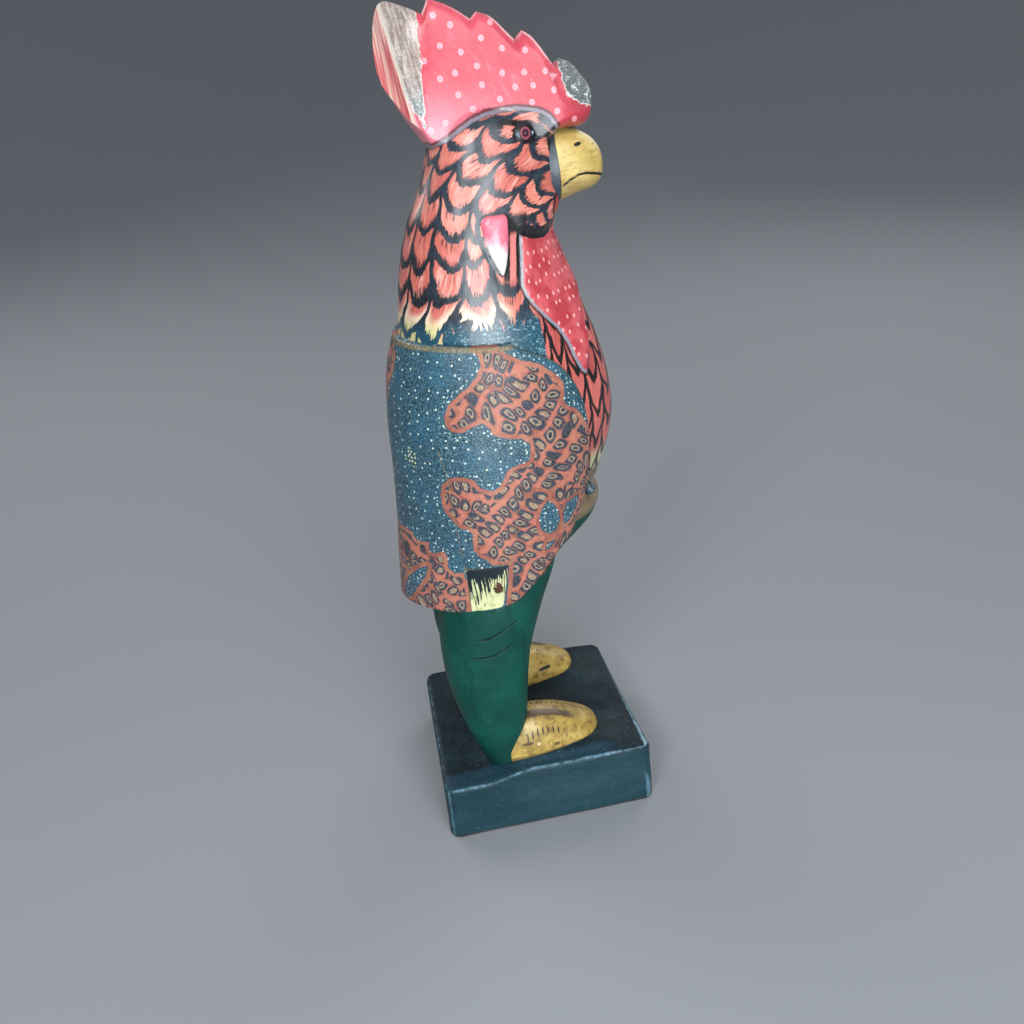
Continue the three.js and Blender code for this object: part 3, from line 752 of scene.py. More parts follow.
class Paint:
    """The layers of paint on one slot, over a ground colour."""

    def __init__(self, slot, ground):
        material = MATERIALS[SLOT[slot]]
        material.use_nodes = True
        self.tree = material.node_tree
        self.tree.nodes.clear()
        where = self.tree.nodes.new("ShaderNodeTexCoord").outputs["Object"]
        scale = self.tree.nodes.new("ShaderNodeVectorMath")
        scale.operation = "SCALE"
        self.tree.links.new(where, scale.inputs[0])
        scale.inputs["Scale"].default_value = 1 / MM
        split = self.tree.nodes.new("ShaderNodeSeparateXYZ")
        self.tree.links.new(scale.outputs[0], split.inputs[0])
        self.left, back, up = [Value(self.tree, split.outputs[i]) for i in range(3)]
        self.forward = 0 - back
        self.up = up - BASE_HEIGHT
        self.side = abs(self.left)
        self.base = ground

    def field(self, name):
        node = self.tree.nodes.new("ShaderNodeAttribute")
        node.attribute_name = name
        return Value(self.tree, node.outputs["Fac"])

    def vector(self, *values):
        node = self.tree.nodes.new("ShaderNodeCombineXYZ")
        for slot, value in zip(node.inputs, values):
            feed(self.tree, slot, value)
        return node.outputs[0]

    def noise(self, x, y=0, z=0, detail=2.0, rough=.5):
        node = self.tree.nodes.new("ShaderNodeTexNoise")
        self.tree.links.new(self.vector(x, y, z), node.inputs["Vector"])
        node.inputs["Scale"].default_value = 1.0
        node.inputs["Detail"].default_value = detail
        node.inputs["Roughness"].default_value = rough
        return Value(self.tree, node.outputs[0])

    def grain(self, per_mm, detail=2.0, rough=.5, shift=0.0):
        """Even noise over the whole surface."""
        return self.noise(self.left * per_mm + shift, self.forward * per_mm, self.up * per_mm, detail, rough)

    def sway(self, amount, *noise, **more):
        """Even noise that runs as far below nought as above."""
        return (self.grain(*noise, **more) - .5) * amount

    def cells(self, x, y, spread=1.0):
        """Cells round scattered points: distance to the point, and the point itself."""
        node = self.tree.nodes.new("ShaderNodeTexVoronoi")
        node.voronoi_dimensions = "2D"
        self.tree.links.new(self.vector(x, y), node.inputs["Vector"])
        node.inputs["Scale"].default_value = 1.0
        node.inputs["Randomness"].default_value = spread
        split = self.tree.nodes.new("ShaderNodeSeparateXYZ")
        self.tree.links.new(node.outputs["Position"], split.inputs[0])
        return (Value(self.tree, node.outputs["Distance"]), Value(self.tree, split.outputs[0]),
                Value(self.tree, split.outputs[1]))

    def chance(self, x, y=0, z=0):
        node = self.tree.nodes.new("ShaderNodeTexWhiteNoise")
        self.tree.links.new(self.vector(x, y, z), node.inputs["Vector"])
        return Value(self.tree, node.outputs["Value"])

    def mix(self, under, over, amount):
        node = self.tree.nodes.new("ShaderNodeMix")
        node.data_type = "RGBA"
        for slot, value in ((0, amount), (6, under), (7, over)):
            feed(self.tree, node.inputs[slot], value)
        return Value(self.tree, node.outputs[2])

    def coat(self, colour, amount):
        """One more layer of paint."""
        self.base = self.mix(self.base, colour, amount)

    def finish(self, roughness, height, varnish=.25, varnish_roughness=.2, specular=.5):
        shader = self.tree.nodes.new("ShaderNodeBsdfPrincipled")
        out = self.tree.nodes.new("ShaderNodeOutputMaterial")
        self.tree.links.new(shader.outputs[0], out.inputs[0])
        bump = self.tree.nodes.new("ShaderNodeBump")
        bump.inputs["Strength"].default_value = 1.0
        bump.inputs["Distance"].default_value = MM
        self.tree.links.new(height.socket, bump.inputs["Height"])
        self.tree.links.new(bump.outputs[0], shader.inputs["Normal"])
        sockets = {"Base Color": self.base, "Roughness": roughness, "Specular IOR Level": specular,
                   "Coat Weight": varnish, "Coat Roughness": varnish_roughness}
        for name, value in sockets.items():
            feed(self.tree, shader.inputs[name], value)


def spot(x, y, wide=1, high=1):
    """Rises with the square of the distance from a point, slower along the longer side."""
    return x * x / wide + y * y / high


def plumage(p, column, row, depth, sharp, top, side_top, tip, barb, stagger):
    """One layer of feathers, in columns that run down the bird: 1 inside a feather, 0 between."""
    index = column.floor()
    dx = abs((column - index) * 2 - 1)
    shift = p.chance(index, 3.7) * .16 - .24 + (index * .5).fract() * 2 * stagger
    strokes = p.noise(column * 8.5, row * .9, 4.1, 3, .6)
    fine = p.noise(column * 24, row * 2.0, 9.3, 2, .6)
    jag = (strokes - .5) * barb * 2 + (fine - .5) * barb * 1.6
    run = row + shift - depth * (1 - dx ** sharp)
    turn = run.floor()
    inside = run - turn
    start = top + side_top * dx ** 3 + jag
    end = inside - tip - jag * .6 - (fine - .5) * barb * 4
    patch = (inside - start).rise(-.03, .03) * end.rise(.03, -.03)
    gap = (dx + (strokes - .5) * .35 + (fine - .5) * .25).rise(.9, .82)
    return patch * gap, inside, strokes, fine, p.chance(index, turn, 5.0)


def paint_neck(p):
    """Feathers in columns down the neck, dark between, with cream tips over a plain dark band."""
    column = p.field("column") + p.sway(.7, .06, 1)
    row = p.field("row") + p.sway(.8, .06, 1, shift=40)
    patch, inside, strokes, fine, tone = plumage(p, column, row, .74, 2.2, .25, .34, .92, .16, 0)
    teeth = (strokes - .5) * 6 + (fine - .5) * 15
    nape = p.forward.rise(-28, -31)
    patch = patch * (p.up - 248.5 - p.chance(column.floor(), 2) * 3 + nape * 14 + teeth).rise(-.4, .4)
    # Darker ground and deeper coral towards the back of the neck: painted shade on the side turned from the
    # light.
    behind = p.forward.rise(-16, -42)
    low = p.up.rise(256, 246)
    p.coat((50, 62, 74), (fine * .6 + p.grain(.25, 3) * .4).rise(.42, .62))
    p.coat((16, 16, 20), behind * .7)
    p.coat((26, 74, 92), low * .9)
    scuff = p.noise(p.left * .5, p.forward * .5, p.up * .8, 4, .8).rise(.53, .66)
    p.coat((150, 188, 200), scuff * low * p.forward.rise(-32, -22) * .9)
    plume = p.mix((190, 98, 86), (220, 132, 116), tone)
    plume = p.mix(plume, (188, 92, 80), behind * .4)
    plume = p.mix(plume, (110, 42, 36), fine.rise(.55, .72) * .7 * inside.rise(.95, .45))
    plume = p.mix(plume, (240, 184, 172), strokes.rise(.5, .72) * .6)
    ends = inside.rise(.6, .4).most(inside.rise(.7, .85))
    plume = p.mix(plume, (60, 30, 30), fine.rise(.55, .64) * ends * .8)
    cream = inside.rise(.35, .8) * p.up.rise(268, 254) * p.forward.rise(6, -2)
    plume = p.mix(plume, (232, 214, 190), cream * .85)
    plume = p.mix(plume, (196, 192, 128), nape * p.up.rise(256, 248) * .9)
    plume = p.mix(plume, (74, 46, 44), p.field("chart").rise(17, 24) * p.up.rise(252, 240) * .5)
    p.coat(plume, patch)

    # The dark column between the ear lobe and the wattle, with one narrow coral feather.
    strip = p.up.rise(264, 270) * p.up.rise(297, 294)
    beside = p.forward + (p.up - 280) * -.12
    p.coat((20, 20, 24), strip * beside.rise(1.5, 2.5) * beside.rise(13, 12))
    feather = (abs(beside - 6.4) + (fine - .5) * 1.2).rise(1.7, 1.3)
    p.coat((206, 118, 112), strip * feather * p.up.rise(289, 286))
    # A dark line along the rear rim of the raised ear lobe: painted shadow beside the lobe.
    p.coat((24, 42, 54), (p.field("lobe_rim") + (fine - .5)).rise(1.5, .9))
    return patch, strokes, fine


def paint_breast(p):
    """Smooth pointed feathers with thin black outlines, and the plain belly below them."""
    chart = p.field("chart")
    breast = chart.rise(29.5, 30.5) * p.up.rise(276, 272)
    narrow = (chart + p.sway(6, .08, 1, shift=9)) / 8.2
    long_row = 0 - (p.up + p.sway(6, .07, 1, shift=19)) / 16.5
    scale, within, _, hair, shade = plumage(p, narrow, long_row, .85, 1.4, .24, .2, .93, .06, .5)
    leaf = p.mix((170, 76, 72), (200, 108, 98), shade)
    leaf = p.mix(leaf, (150, 52, 50), within.rise(.35, .05) * .6)
    leaf = p.mix(leaf, (96, 30, 30), hair.rise(.54, .66) * .6)
    leaf = p.mix(leaf, (168, 166, 128), p.up.rise(180, 170))
    leaf = p.mix((20, 18, 22), leaf, scale)
    p.coat(leaf, breast)
    edge = (p.up + p.sway(3, .15, 2)).rise(166, 164.5)
    belly = edge * chart.rise(20, 22)
    tan = p.mix((126, 108, 78), (94, 76, 54), p.grain(.12, 3, .6, 7).rise(.35, .65))
    tan = p.mix(tan, (160, 148, 118), p.grain(.5, 3, .7, 3).rise(.55, .7) * .5)
    tan = p.mix(tan, (62, 46, 32), p.up.rise(146, 139) * .5 + p.up.rise(158, 163) * .35)
    p.coat(tan, belly)


def paint_wattles(p, strokes, fine):
    """The red wattles, with small pale dots, a pale carved edge behind and a black line in front."""
    chart, jaw = p.field("chart"), p.field("jaw")
    below = (jaw + (strokes - .5) * 3).rise(-4.2, -4.8)
    wattle = p.field("wattle") + p.sway(.5, .6, 2)
    red = p.mix((176, 58, 66), (198, 88, 94), p.grain(.1, 2, shift=5).rise(.4, .62))
    red = p.mix(red, (156, 36, 46), p.noise(chart * .9, p.up * .12, 2, 3).rise(.55, .72) * .45)
    dot = p.cells(chart * .2, p.up * .155, .5)[0]
    red = p.mix(red, (240, 170, 172), (dot + p.sway(.07, .9, 1)).rise(.17, .11) * .85)
    p.coat(red, wattle.rise(.35, -.35) * below)
    ahead = (chart + (p.up - 225) * .14).rise(49, 51)
    p.coat((122, 130, 142), abs(wattle - .3).rise(.8, .42) * (1 - ahead) * .9 * below)
    p.coat((18, 16, 20), abs(wattle - 1.5).rise(.8, .45) * (1 - ahead) * .85 * below)
    p.coat((18, 16, 20), abs(wattle - .2).rise(.7, .35) * ahead * below)
    # A black band under the jaw's overhang: painted shadow under the chin.
    chin = (jaw + (strokes - .5) * 4 + (fine - .5) * 3).rise(1.6, .6) * jaw.rise(-5, -4.2)
    p.coat((18, 17, 20), chin * p.forward.rise(7.5, 9.5))


def paint_face(p, fine):
    """The dark brow, the eye in its almond, and the small red leaf at the corner of the beak."""
    p.coat((70, 92, 108), p.forward.rise(28.4, 30.4) * p.up.rise(300, 306) * p.up.rise(327, 325) * .9)
    drop = p.field("drop")
    p.coat((170, 52, 48), drop.rise(.3, -.3))
    p.coat((24, 18, 20), abs(drop - .4).rise(.6, .3))
    p.coat((20, 19, 22), (p.field("brow") + (fine - .5) * 2.2).rise(1.7, .9))
    ex, ey = (p.forward - 17.0) * 1.35, (p.up - EYE_UP) * 1.35
    ragged = p.sway(.6, .5, 2) + (fine - .5) * .5
    almond = spot(ex - 1.5, ey - .2, 95, 32) + ragged * 1.4
    p.coat((18, 17, 20), almond.rise(1.1, .95))
    white = spot(ex, ey + .3, 30, 5) + p.sway(.7, 1.2, 2)
    p.coat((84, 116, 138), white.rise(1.05, .85))
    reach = spot(ex, ey).sqrt()
    p.coat((18, 14, 18), reach.rise(4.2, 3.9))
    p.coat(p.mix((88, 34, 46), (140, 72, 82), abs(reach - 2.75).rise(.85, .2)), reach.rise(3.6, 3.3))
    p.coat((34, 16, 24), reach.rise(2.0, 1.65))
    p.coat((92, 62, 80), reach.rise(1.2, .8))
    glint = spot(ex - 4.9, ey + .2).sqrt()
    p.coat((196, 204, 216), glint.rise(.7, .45))


def crest_red(p):
    """The comb's red with brush strokes and soft dots."""
    p.base = (196, 68, 84)
    brush = p.noise(p.forward * .35 + p.up * .2, p.up * .07 - p.forward * .1, p.left * .2, 4, .65)
    p.coat((216, 96, 110), brush.rise(.48, .7) * .8)
    p.coat((182, 52, 68), p.grain(.05, 2, shift=3).rise(.45, .7) * .7)
    # On the comb's foot: darker towards the front, which is painted shade, and lighter pink at the rear,
    # which is a painted highlight.
    p.coat((150, 32, 44), p.forward.rise(26, 48) * p.up.rise(347, 326) * .7)
    p.coat((236, 138, 154), p.up.rise(350, 332) * p.forward.rise(14, -18) * .6)
    dx, dy = p.field("dot_x"), p.field("dot_y")
    dot = spot(dx, dy).sqrt() + p.sway(.7, .9, 2)
    close = p.field("dot_near").rise(2.4, 2.1)
    p.coat((238, 166, 178), dot.rise(1.55, .9) * .8 * close)
    p.coat((222, 112, 128), dot.rise(.7, .3) * .5 * close)
    p.coat((84, 14, 26), p.grain(.6, 3, .7, 33).rise(.73, .77) * .6)
    nick = p.noise(p.forward * .09, p.up * .8 - p.forward * .1, p.left * .3, 4, .7)
    p.coat((130, 34, 48), nick.rise(.69, .73) * p.grain(.07, 2, shift=71).rise(.5, .56) * .7)
    return brush


def bare_wood(p):
    """Pale weathered wood with scratches along and across, greener and flaked towards its ends."""
    run = p.forward + p.up * .16
    fibre = p.noise(run * 1.1, p.left * .3, p.up * .05, 4, .7)
    thread = p.noise(run * 3.0, p.left * .8, p.up * .12, 3, .7)
    wood = p.mix((134, 118, 110), (186, 170, 162), fibre.rise(.42, .62))
    wood = p.mix(wood, (74, 62, 56), thread.rise(.56, .68) * .6)
    wood = p.mix(wood, (122, 140, 144), p.up.rise(352, 338) * .7)
    wood = p.mix(wood, (70, 86, 90), p.forward.rise(20, 34) * .85)
    cross = p.noise(p.left * .2, p.forward * .3, p.up * 2.6, 3, .7)
    wood = p.mix(wood, (214, 208, 204), cross.rise(.56, .66) * .6)
    flake = p.grain(.4, 4, .75, 21)
    wood = p.mix(wood, (226, 230, 228), flake.rise(.56, .62) * (.2 + p.up.rise(352, 338) * .7))
    wood = p.mix(wood, (196, 96, 100), flake.rise(.38, .32) * .4)
    return wood, fibre, thread


def worn(p):
    """The outline of the bare places, negative inside, with a chipped edge."""
    return p.field("bare") + p.sway(3.4, .35, 3, .6, 12)


def paint_crest(p):
    """The comb over what is painted so far, worn through at the old cuts."""
    under = p.base
    brush = crest_red(p)
    wood, _, _ = bare_wood(p)
    bare = worn(p)
    p.coat(wood, bare.rise(.1, -.1))
    p.coat((222, 220, 214), abs(bare).rise(.4, .15) * p.grain(.3, 2, shift=51).rise(.4, .55) * .9)
    p.coat((216, 200, 180), p.field("cut1").rise(.5, .2) * .8)
    p.base = p.mix(under, p.base, p.field("ridge").rise(.15, -.15))
    return brush * .12 + p.grain(.1, 2, shift=8) * .5 - bare.rise(.2, -.2) * .25


def paint_head(slot):
    """One paint for comb and body; the carved line over the eye parts them."""
    p = Paint(slot, (30, 36, 45))
    patch, strokes, fine = paint_neck(p)
    paint_breast(p)
    paint_wattles(p, strokes, fine)
    paint_face(p, fine)
    crest = paint_crest(p)
    crown = p.field("crown") + p.sway(.8, .8, 2)
    p.coat((20, 18, 22), (p.field("ridge") - .9 + (fine - .5) * .8).rise(.3, 0) * crown.rise(2, 1.4) * .8)
    p.coat((132, 130, 142), crown.rise(.95, .5) * .8)
    p.coat((190, 180, 170), p.grain(.35, 4, .75, 60).rise(.69, .75) * .3)
    height = patch * .05 + strokes * .06 + fine * .04 + p.grain(.12, 2) * .4 + crest
    p.finish(.3 + p.grain(.5, 3, shift=2) * .2, height, .42, .24)


def paint_wood(slot, end_grain):
    """The faces of the old cuts: weathered wood, or end grain that has taken up the red."""
    p = Paint(slot, (30, 36, 45))
    crest_red(p)
    wood, fibre, thread = bare_wood(p)
    if end_grain:
        run, cross = p.forward + p.up * .085, p.left - p.up * .36
        fibre = p.noise(run * .8, cross * .8, p.up * .02, 3, .6)
        thread = p.noise(run * 2.4, cross * 2.4, p.up * .05, 3, .7)
        wood = p.mix((206, 84, 92), (232, 196, 176), fibre.rise(.47, .58) * .9)
        wood = p.mix(wood, (178, 44, 56), fibre.rise(.45, .37) * .8)
        wood = p.mix(wood, (232, 160, 152), thread.rise(.52, .64) * .7)
        wood = p.mix(wood, (222, 208, 186), p.field("cut0").rise(.4, .15) * .9)
        p.coat(wood, p.up.rise(331, 335))
    else:
        bare = worn(p)
        p.coat(wood, bare.rise(.1, -.1))
        p.coat((222, 220, 214), abs(bare).rise(.4, .15) * .7)
        p.coat((206, 204, 196), p.field("cut1").rise(.5, .15) * .6)
    p.finish(.45 + thread * .25, fibre * .35 + thread * .3, .25, .3)


def paint_beak():
    p = Paint("beak", (184, 158, 88))
    p.coat((206, 184, 116), p.grain(.09, 3).rise(.4, .62) * .8)
    p.coat((158, 126, 62), p.noise(p.forward * .15, p.up * .7, p.left * .3, 4).rise(.52, .7) * .7)
    p.coat((130, 106, 66), p.up.rise(307, 302) * .45)
    p.coat((92, 72, 44), p.grain(1.4, 3, .7).rise(.56, .66) * (.4 + p.up.rise(308, 304) * .4))
    mouth = p.field("mouth") + p.sway(.25, .7, 2)
    p.coat((22, 16, 14), mouth.rise(.75, .4))
    nx, ny = p.forward - 42, p.up - 319.6 - (p.forward - 42) * .15
    p.coat((22, 18, 16), spot(nx, ny, 3.4, .75).rise(1.1, .8))
    back = p.forward - 31.2 + abs(p.up - 320) * -.1
    p.coat((20, 20, 22), back.rise(.9, .5) * .9)
    p.coat((44, 60, 72), back.rise(.4, 0) * .9)
    height = p.grain(.2, 3) * .5 + p.grain(1.2, 2, shift=5) * .08 - mouth.rise(.9, .2) * .35
    p.finish(.38 + p.grain(.6, 3, shift=2) * .2, height, .25, .28)


def paint_lobe():
    p = Paint("lobe", (228, 224, 220))
    edge = p.up + (p.forward + 1) * .55 + p.sway(3, .4, 3)
    p.coat((240, 176, 188), edge.rise(281.5, 284))
    p.coat((224, 112, 130), edge.rise(283, 287))
    p.coat((176, 184, 192), p.grain(.5, 3, shift=3).rise(.55, .7) * .5)
    p.finish(.3 + p.grain(.5, 3) * .15, p.grain(.3, 2) * .25, .35, .18)


def looped_cells(p, x, y, across, along, turn):
    """Long rounded cells: the depth inside the cell in millimetres, its own number, and the way along it."""
    c, s = math.cos(turn), math.sin(turn)
    u, v = (x * c - y * s) / across, (x * s + y * c) / along
    edge = p.tree.nodes.new("ShaderNodeTexVoronoi")
    edge.voronoi_dimensions = "2D"
    edge.feature = "DISTANCE_TO_EDGE"
    edge.inputs["Scale"].default_value = 1.0
    spread = .28
    edge.inputs["Randomness"].default_value = spread
    p.tree.links.new(p.vector(u, v), edge.inputs["Vector"])
    away, px, py = p.cells(u, v, spread)
    depth = Value(p.tree, edge.outputs["Distance"]).least(.5 - away) * across
    return depth, p.chance(px, py), v - py


def paint_batik(p, chart, fleck):
    """Coral islands edged by a plain band and filled with close dark loops, on a speckled dark blue."""
    batik = p.field("batik") + p.sway(1.5, .35, 2, shift=5) + p.sway(.8, 1.3, 2)
    beads = p.cells(chart * .42, p.up * .42, .3)[0]
    p.coat((170, 190, 184), beads.rise(.24, .14) * abs(batik - 1.9).rise(1.1, .8) * .8)
    coral = p.mix((140, 80, 66), (166, 106, 86), p.grain(.07, 2, shift=17).rise(.4, .62))
    coral = p.mix(coral, (186, 146, 124), fleck.rise(.54, .68) * .6)
    coral = p.mix(coral, (104, 62, 58), p.grain(1.2, 3, .7, 23).rise(.53, .65) * .65)
    wave_x = p.sway(12, .05, 1, shift=70)
    wave_y = p.sway(12, .05, 1, shift=90)
    x, y = chart + wave_x, p.up + wave_y
    first, one, end_one = looped_cells(p, x, y, 5.2, 9.2, -.75)
    second, two, end_two = looped_cells(p, x, y, 5.0, 8.6, .3)
    swap = p.grain(.03, 0, shift=33).rise(.495, .505)
    deep = p.mix(first, second, swap)
    number = p.mix(one, two, swap)
    end = p.mix(end_one, end_two, swap)
    deep = deep + p.sway(.45, .9, 2, shift=3)
    marks = batik.rise(-1.9, -2.3)
    inner = p.mix((24, 36, 50), (74, 90, 100), fleck.rise(.46, .62))
    band = deep.rise(-.1, .3)
    coral = p.mix(coral, inner, band * marks * .95)
    core = deep.rise(1.05, 1.4) * marks
    heart = p.mix((140, 96, 78), (178, 166, 138), fleck.rise(.42, .6))
    coral = p.mix(coral, heart, core * number.rise(.12, .17) * .8)
    pip = deep.rise(1.7, 1.95) * marks
    coral = p.mix(coral, inner, pip * number.rise(.5, .55))
    opening = (end * (number - .5).math("SIGN")).rise(.28, .36) * deep.rise(1.9, 1.3)
    coral = p.mix(coral, (184, 112, 94), opening * marks * .7)
    p.coat(coral, batik.rise(.3, -.3))
    return band * marks


def paint_coat():
    p = Paint("coat", (28, 60, 76))
    chart = p.field("chart")
    fleck = p.grain(1.5, 3, .75)
    p.coat((104, 148, 162), fleck.rise(.48, .62) * .8)
    p.coat((10, 26, 40), p.grain(1.3, 3, .7, 31).rise(.5, .6) * .75)
    p.coat((44, 92, 114), p.grain(.05, 2, shift=11).rise(.42, .62) * .4)
    star = p.cells(chart * .17, p.up * .17, .8)[0]
    p.coat((206, 216, 200), (star + (fleck - .5) * .05).rise(.1, .06) * .9)
    small = p.cells(chart * .36 + 5, p.up * .36, .95)[0]
    p.coat((110, 148, 164), small.rise(.12, .06) * .7)
    band = paint_batik(p, chart, fleck)
    petals = p.cells(chart * .5 + 3.3, p.up * .42 + 1.2, .35)[0]
    near = spot(chart + 44.8, p.up - 189.4).sqrt()
    p.coat((208, 206, 156), petals.rise(.3, .18) * near.rise(4.6, 4.0) * .9)

    # The cuff: feather tips on a dark ground.
    window = p.field("window")
    spikes = p.noise(chart * 1.1, p.up * .06, 1, 3, .65)
    tips = (p.up - 120 - (chart + 14) * .4 - (spikes - .5) * 64).rise(.8, -.8)
    cuff = p.mix((12, 26, 34), (200, 204, 156), tips)
    cuff = p.mix(cuff, (160, 166, 108), tips * p.grain(.25, 3).rise(.5, .65) * .6)
    chip = spot(chart + 8.6, p.up - 120.5, 5, 14) + p.sway(4, .5, 3)
    cuff = p.mix(cuff, (78, 48, 34), chip.rise(1.1, .8))
    p.coat(cuff, window.rise(.2, -.2))
    ochre = p.mix((92, 82, 58), (144, 130, 94), fleck.rise(.45, .6))
    dashes = p.grain(.5, 3, .6, 13).rise(.36, .52)
    p.coat(ochre, (p.field("sleeve") + (fleck - .5) * .5).rise(.75, .35) * dashes * .7)
    p.coat(ochre, (p.field("border") + (fleck - .5) * .8).rise(1.3, .7) * (.35 + dashes * .5))
    p.coat(ochre, (p.field("collar") + (fleck - .5)).rise(1.7, .9) * (.35 + dashes * .5))
    p.coat((40, 30, 24), (p.field("hem") + (fleck - .5)).rise(1.1, .5) * .8)
    p.coat((206, 206, 196), p.grain(.6, 4, .8, 44).rise(.72, .76) * .6)
    height = fleck * .06 + p.grain(.1, 2, shift=6) * .6 - p.field("sleeve").rise(1.0, .2) * .18
    p.finish(.4 + p.grain(.8, 3, shift=2) * .16, height + band * .03, .12, .3, .35)


def paint_knob():
    p = Paint("knob", (38, 58, 70))
    p.coat((92, 112, 118), p.grain(.6, 3).rise(.48, .62))
    p.coat((16, 20, 24), p.grain(.9, 3, shift=4).rise(.56, .66))
    p.finish(.4 + p.grain(.8, 2) * .1, p.grain(.6, 3) * .3)


def paint_trousers():
    p = Paint("trousers", (4, 60, 52))
    p.coat((8, 74, 64), p.grain(.05, 3, .6).rise(.42, .62) * .7)
    p.coat((3, 46, 42), p.noise(p.left * .12, p.forward * .12, p.up * .04, 4).rise(.52, .7) * .6)
    p.coat((4, 42, 40), p.up.rise(22, 6) * .6)
    crease = p.field("crease") + p.sway(.7, .5, 2)
    p.coat((6, 22, 22), crease.rise(.75, .35) * .9)
    scratch = p.noise(p.left * .25, p.forward * .22 + p.up * .5, p.up * 1.1, 4, .7)
    p.coat((120, 156, 136), scratch.rise(.66, .71) * p.grain(.06, 2, shift=9).rise(.48, .58) * .6)
    p.coat((160, 176, 156), p.grain(.8, 4, .8, 5).rise(.71, .75) * .5)
    height = p.grain(.09, 2) * .8 + scratch * .1 - crease.rise(1, .2) * .3
    p.finish(.42 + p.grain(.3, 3, shift=2) * .2, height, .05, .3, .18)


def paint_shoes():
    """Mustard shoes with a dark tongue, a row of lace holes on each side of it, and a few marks."""
    p = Paint("shoes", (156, 130, 62))
    p.coat((186, 158, 84), p.grain(.1, 3).rise(.42, .6) * .8)
    p.coat((104, 76, 40), p.grain(.22, 4, .7, 8).rise(.48, .64) * .7)
    p.coat((74, 52, 30), p.up.rise(4.2, 2.6) * .7)
    # Across each shoe from its middle line, positive to the outside.
    toes = (p.forward + 19) * (TOE_TURN / SHOE_LENGTH)
    hand = p.left.math("SIGN")
    across = (p.left - toes) * hand - STANCE / 2
    over = p.up.rise(9, 10.5)
    wobble = p.sway(1.6, .5, 2)
    tongue = (abs(across - 5.0) + wobble).rise(2.5, 1.7) * p.forward.rise(24, 16) * over
    p.coat((44, 42, 44), tongue * .9)
    p.coat((96, 66, 34), (abs(across - 5.0) + wobble).rise(4.4, 2.2) * p.forward.rise(24, 8) * over * .45)
    step = ((p.forward + .7) / 3.1).fract() * 3.1 - 1.55
    for centre, first, last in ((12.2, -9, 11.5), (-3.6, -7, 16)):
        row = across - centre
        hole = (step * step * 2.6 + row * row * 1.1).sqrt().rise(1.15, .75)
        span = p.forward.rise(first, first + .5) * p.forward.rise(last + .5, last)
        p.coat((40, 28, 20), hole * span * over * .9)
    side = across.rise(11.5, 12.5)
    strip = abs(p.up - 11.4).rise(1.0, .6) * p.forward.rise(-12.5, -11.5) * p.forward.rise(-5, -6)
    p.coat((48, 42, 36), strip * side * .8)
    mark = spot(p.forward + 2.4, p.up - 9.8)
    p.coat((206, 196, 164), mark.rise(1.1, .5) * side)
    stroke = abs(p.up - 11.2 + wobble * .5).rise(1.3, .7) * p.forward.rise(11, 13) * p.forward.rise(21, 19)
    p.coat((34, 28, 22), stroke * across.rise(-11, -12) * p.left.rise(0, 1))
    blot = spot(p.forward - 8.2, p.up - 6.6, 4, 1.5)
    p.coat((54, 44, 32), (blot + wobble * .4).rise(1.2, .6) * side * .8)
    p.coat((56, 38, 24), p.grain(.7, 4, .8, 15).rise(.67, .72) * .7)
    p.finish(.34 + p.grain(.4, 3) * .18, p.grain(.2, 3) * .5, .3, .24)


def paint_block():
    """A near-black top and teal walls, with pale edges that are partly worn paint and partly painted
    highlight, specks and scratches.
    """
    p = Paint("block", (7, 26, 34))
    wall = (p.up + p.sway(1.5, .3, 3)).rise(-1.4, -2.4)
    p.coat((16, 40, 50), p.grain(.08, 4, .65).rise(.44, .66) * .8)
    cloud = p.noise(p.left * .03, p.forward * .03, p.up * .1, 4, .6)
    teal = p.mix((20, 50, 58), (26, 60, 70), cloud.rise(.35, .7))
    teal = p.mix(teal, (14, 40, 48), p.grain(.35, 4, .7, 3).rise(.55, .68) * .35)
    p.coat(teal, wall)
    # A lighter band on the top near its right edge: painted light where the top slopes down towards that
    # edge.
    slope = (-1 * p.left - 41 + p.sway(5, .05, 2)).rise(0, 2.5) * p.forward.rise(50, 30)
    p.coat((24, 58, 72), slope * .65 * (1 - wall))
    lean = p.left.rise(0, -1) * p.forward.rise(LEAN_FROM, LEAN_TO) * LEAN
    # Pale blue along the rounded top edges and the upright corners: partly worn paint, and partly painted
    # highlight where the edges catch the light.
    out = (p.side - 52 + lean).most(abs(p.forward) - 56)
    edge_wear_and_highlight = out.least(p.up + 3) + p.sway(3.2, .18, 4, .7)
    p.coat((78, 116, 134), edge_wear_and_highlight.rise(1.5, 2.2) * .7)
    p.coat((150, 178, 188), edge_wear_and_highlight.rise(2.1, 2.8) * .6)
    upright = (p.side - 49).least(abs(p.forward) - 53) + p.sway(2.4, .2, 4, .7, 3)
    p.coat((96, 132, 148), upright.rise(3.4, 4.6) * .6)
    speck = p.grain(1.3, 3, .8, 7)
    p.coat((168, 174, 172), speck.rise(.65, .7) * .7)
    p.coat((140, 152, 156), p.grain(.6, 4, .8, 19).rise(.64, .7) * .55)
    scratch = p.noise(p.left * .5 + p.forward * .3, p.forward * .04 - p.left * .5, p.up * .5, 4, .7)
    p.coat((84, 96, 104), scratch.rise(.66, .7) * p.grain(.04, 2, shift=9).rise(.5, .56) * .7)
    p.coat((70, 60, 48), (p.up + 36 - p.grain(.2, 3) * 3.2).rise(.4, -.3) * .6)
    height = p.grain(.06, 3, .6) * 1.2 + p.grain(.5, 3, .6, 4) * .15 - speck.rise(.66, .7) * .1
    p.finish(.45 + p.grain(.3, 3, shift=2) * .25, height, .1, .3, .2)


for slot in ("feathers", "comb"):
    paint_head(slot)
for slot in ("wood", "graincut"):
    paint_wood(slot, slot == "graincut")
for paint in (paint_beak, paint_lobe, paint_coat, paint_knob, paint_trousers, paint_shoes, paint_block):
    paint()


# Lights and floor

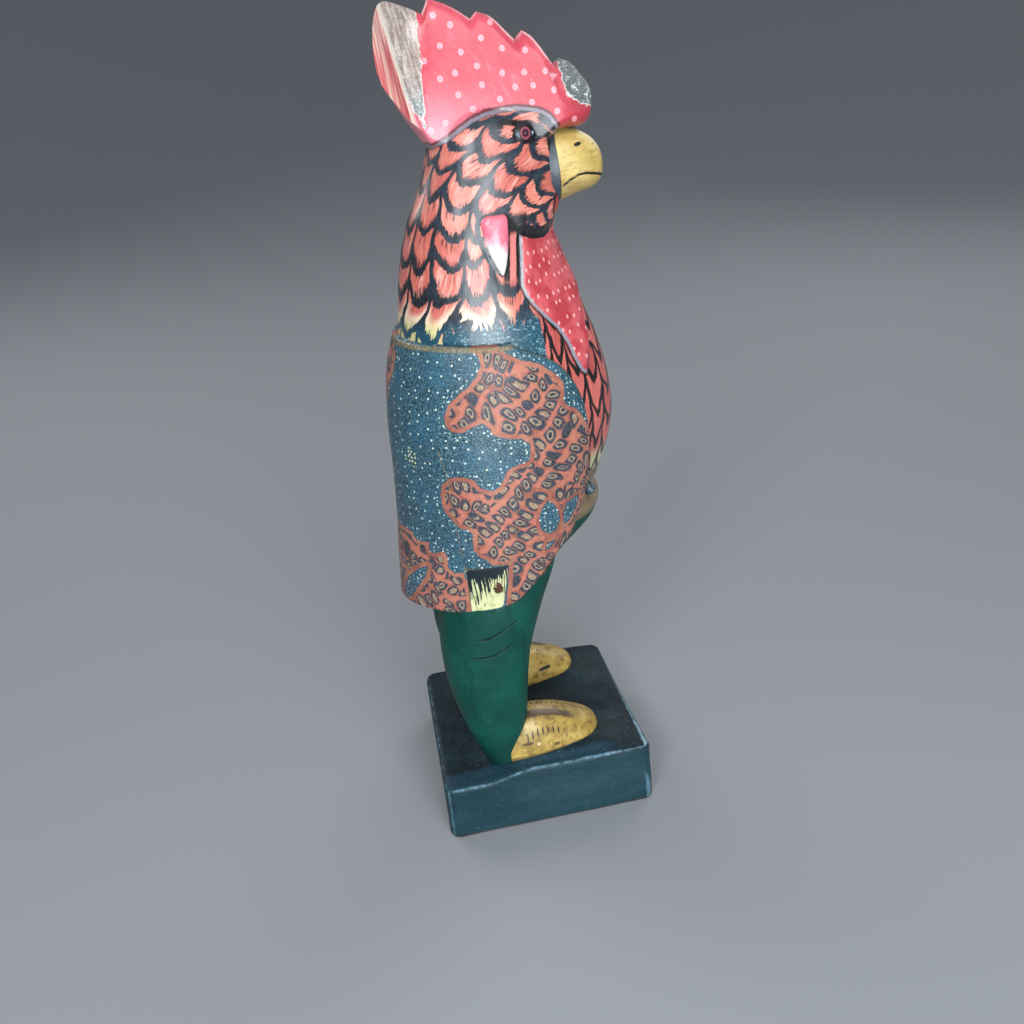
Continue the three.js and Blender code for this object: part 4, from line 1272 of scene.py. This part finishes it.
def area(name, position, aim, size, power_watts, colour=(1, 1, 1)):
    lamp = bpy.data.lights.new(name, "AREA")
    lamp.shape = "DISK"
    lamp.size = size
    lamp.energy = power_watts
    lamp.color = colour
    obj = bpy.data.objects.new(name, lamp)
    obj.location = position
    direction = Vector(aim) - Vector(position)
    obj.rotation_euler = direction.to_track_quat("-Z", "Y").to_euler()
    bpy.context.scene.collection.objects.link(obj)


def stage():
    """A round pale floor that turns up into a wall far from the figure, so that no horizon shows."""
    turn = np.linspace(0, np.pi / 2, 31)
    bend = [(.8 + 2.8 * math.sin(a), 2.2 * (1 - math.cos(a)) ** 1.15) for a in turn]
    profile = [(.5, 0)] + bend + [(3.6, 3.0)]
    sides = 96
    points = [(0, 0, 0)]
    for radius, height in profile:
        for k in range(sides):
            angle = 2 * math.pi * k / sides
            points.append((radius * math.cos(angle), radius * math.sin(angle), height))
    faces = [(0, 1 + k, 1 + (k + 1) % sides) for k in range(sides)]
    for ring in range(len(profile) - 1):
        low, high = 1 + ring * sides, 1 + (ring + 1) * sides
        faces += [(low + k, high + k, high + (k + 1) % sides, low + (k + 1) % sides) for k in range(sides)]
    mesh = bpy.data.meshes.new("floor")
    mesh.from_pydata(points, [], faces)
    mesh.shade_smooth()
    floor = bpy.data.objects.new("floor", mesh)
    material = bpy.data.materials.new("floor_pale")
    material.use_nodes = True
    shader = material.node_tree.nodes["Principled BSDF"]
    shader.inputs["Base Color"].default_value = (.25, .262, .28, 1)
    shader.inputs["Roughness"].default_value = .85
    mesh.materials.append(material)
    bpy.context.scene.collection.objects.link(floor)
    world = bpy.data.worlds.new("studio")
    world.use_nodes = True
    world.node_tree.nodes["Background"].inputs[0].default_value = (.86, .92, 1, 1)
    world.node_tree.nodes["Background"].inputs[1].default_value = .5
    bpy.context.scene.world = world
    aim = (0, 0, .25)
    area("window", (-.95, -.06, .32), aim, .6, 10, (.92, .97, 1))
    area("side", (-.78, .5, .84), (0, 0, .36), .34, 5, (.95, .98, 1))
    area("key", (-.9, -.3, 1.0), aim, .7, 4.5)
    area("back", (1.0, .8, 1.1), aim, 1.0, 8)
    area("front", (.9, -.9, 1.0), aim, 1.0, 6)


bpy.context.scene.view_settings.view_transform = "Standard"
stage()

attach(figure, "root")
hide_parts("rooster_figurine")
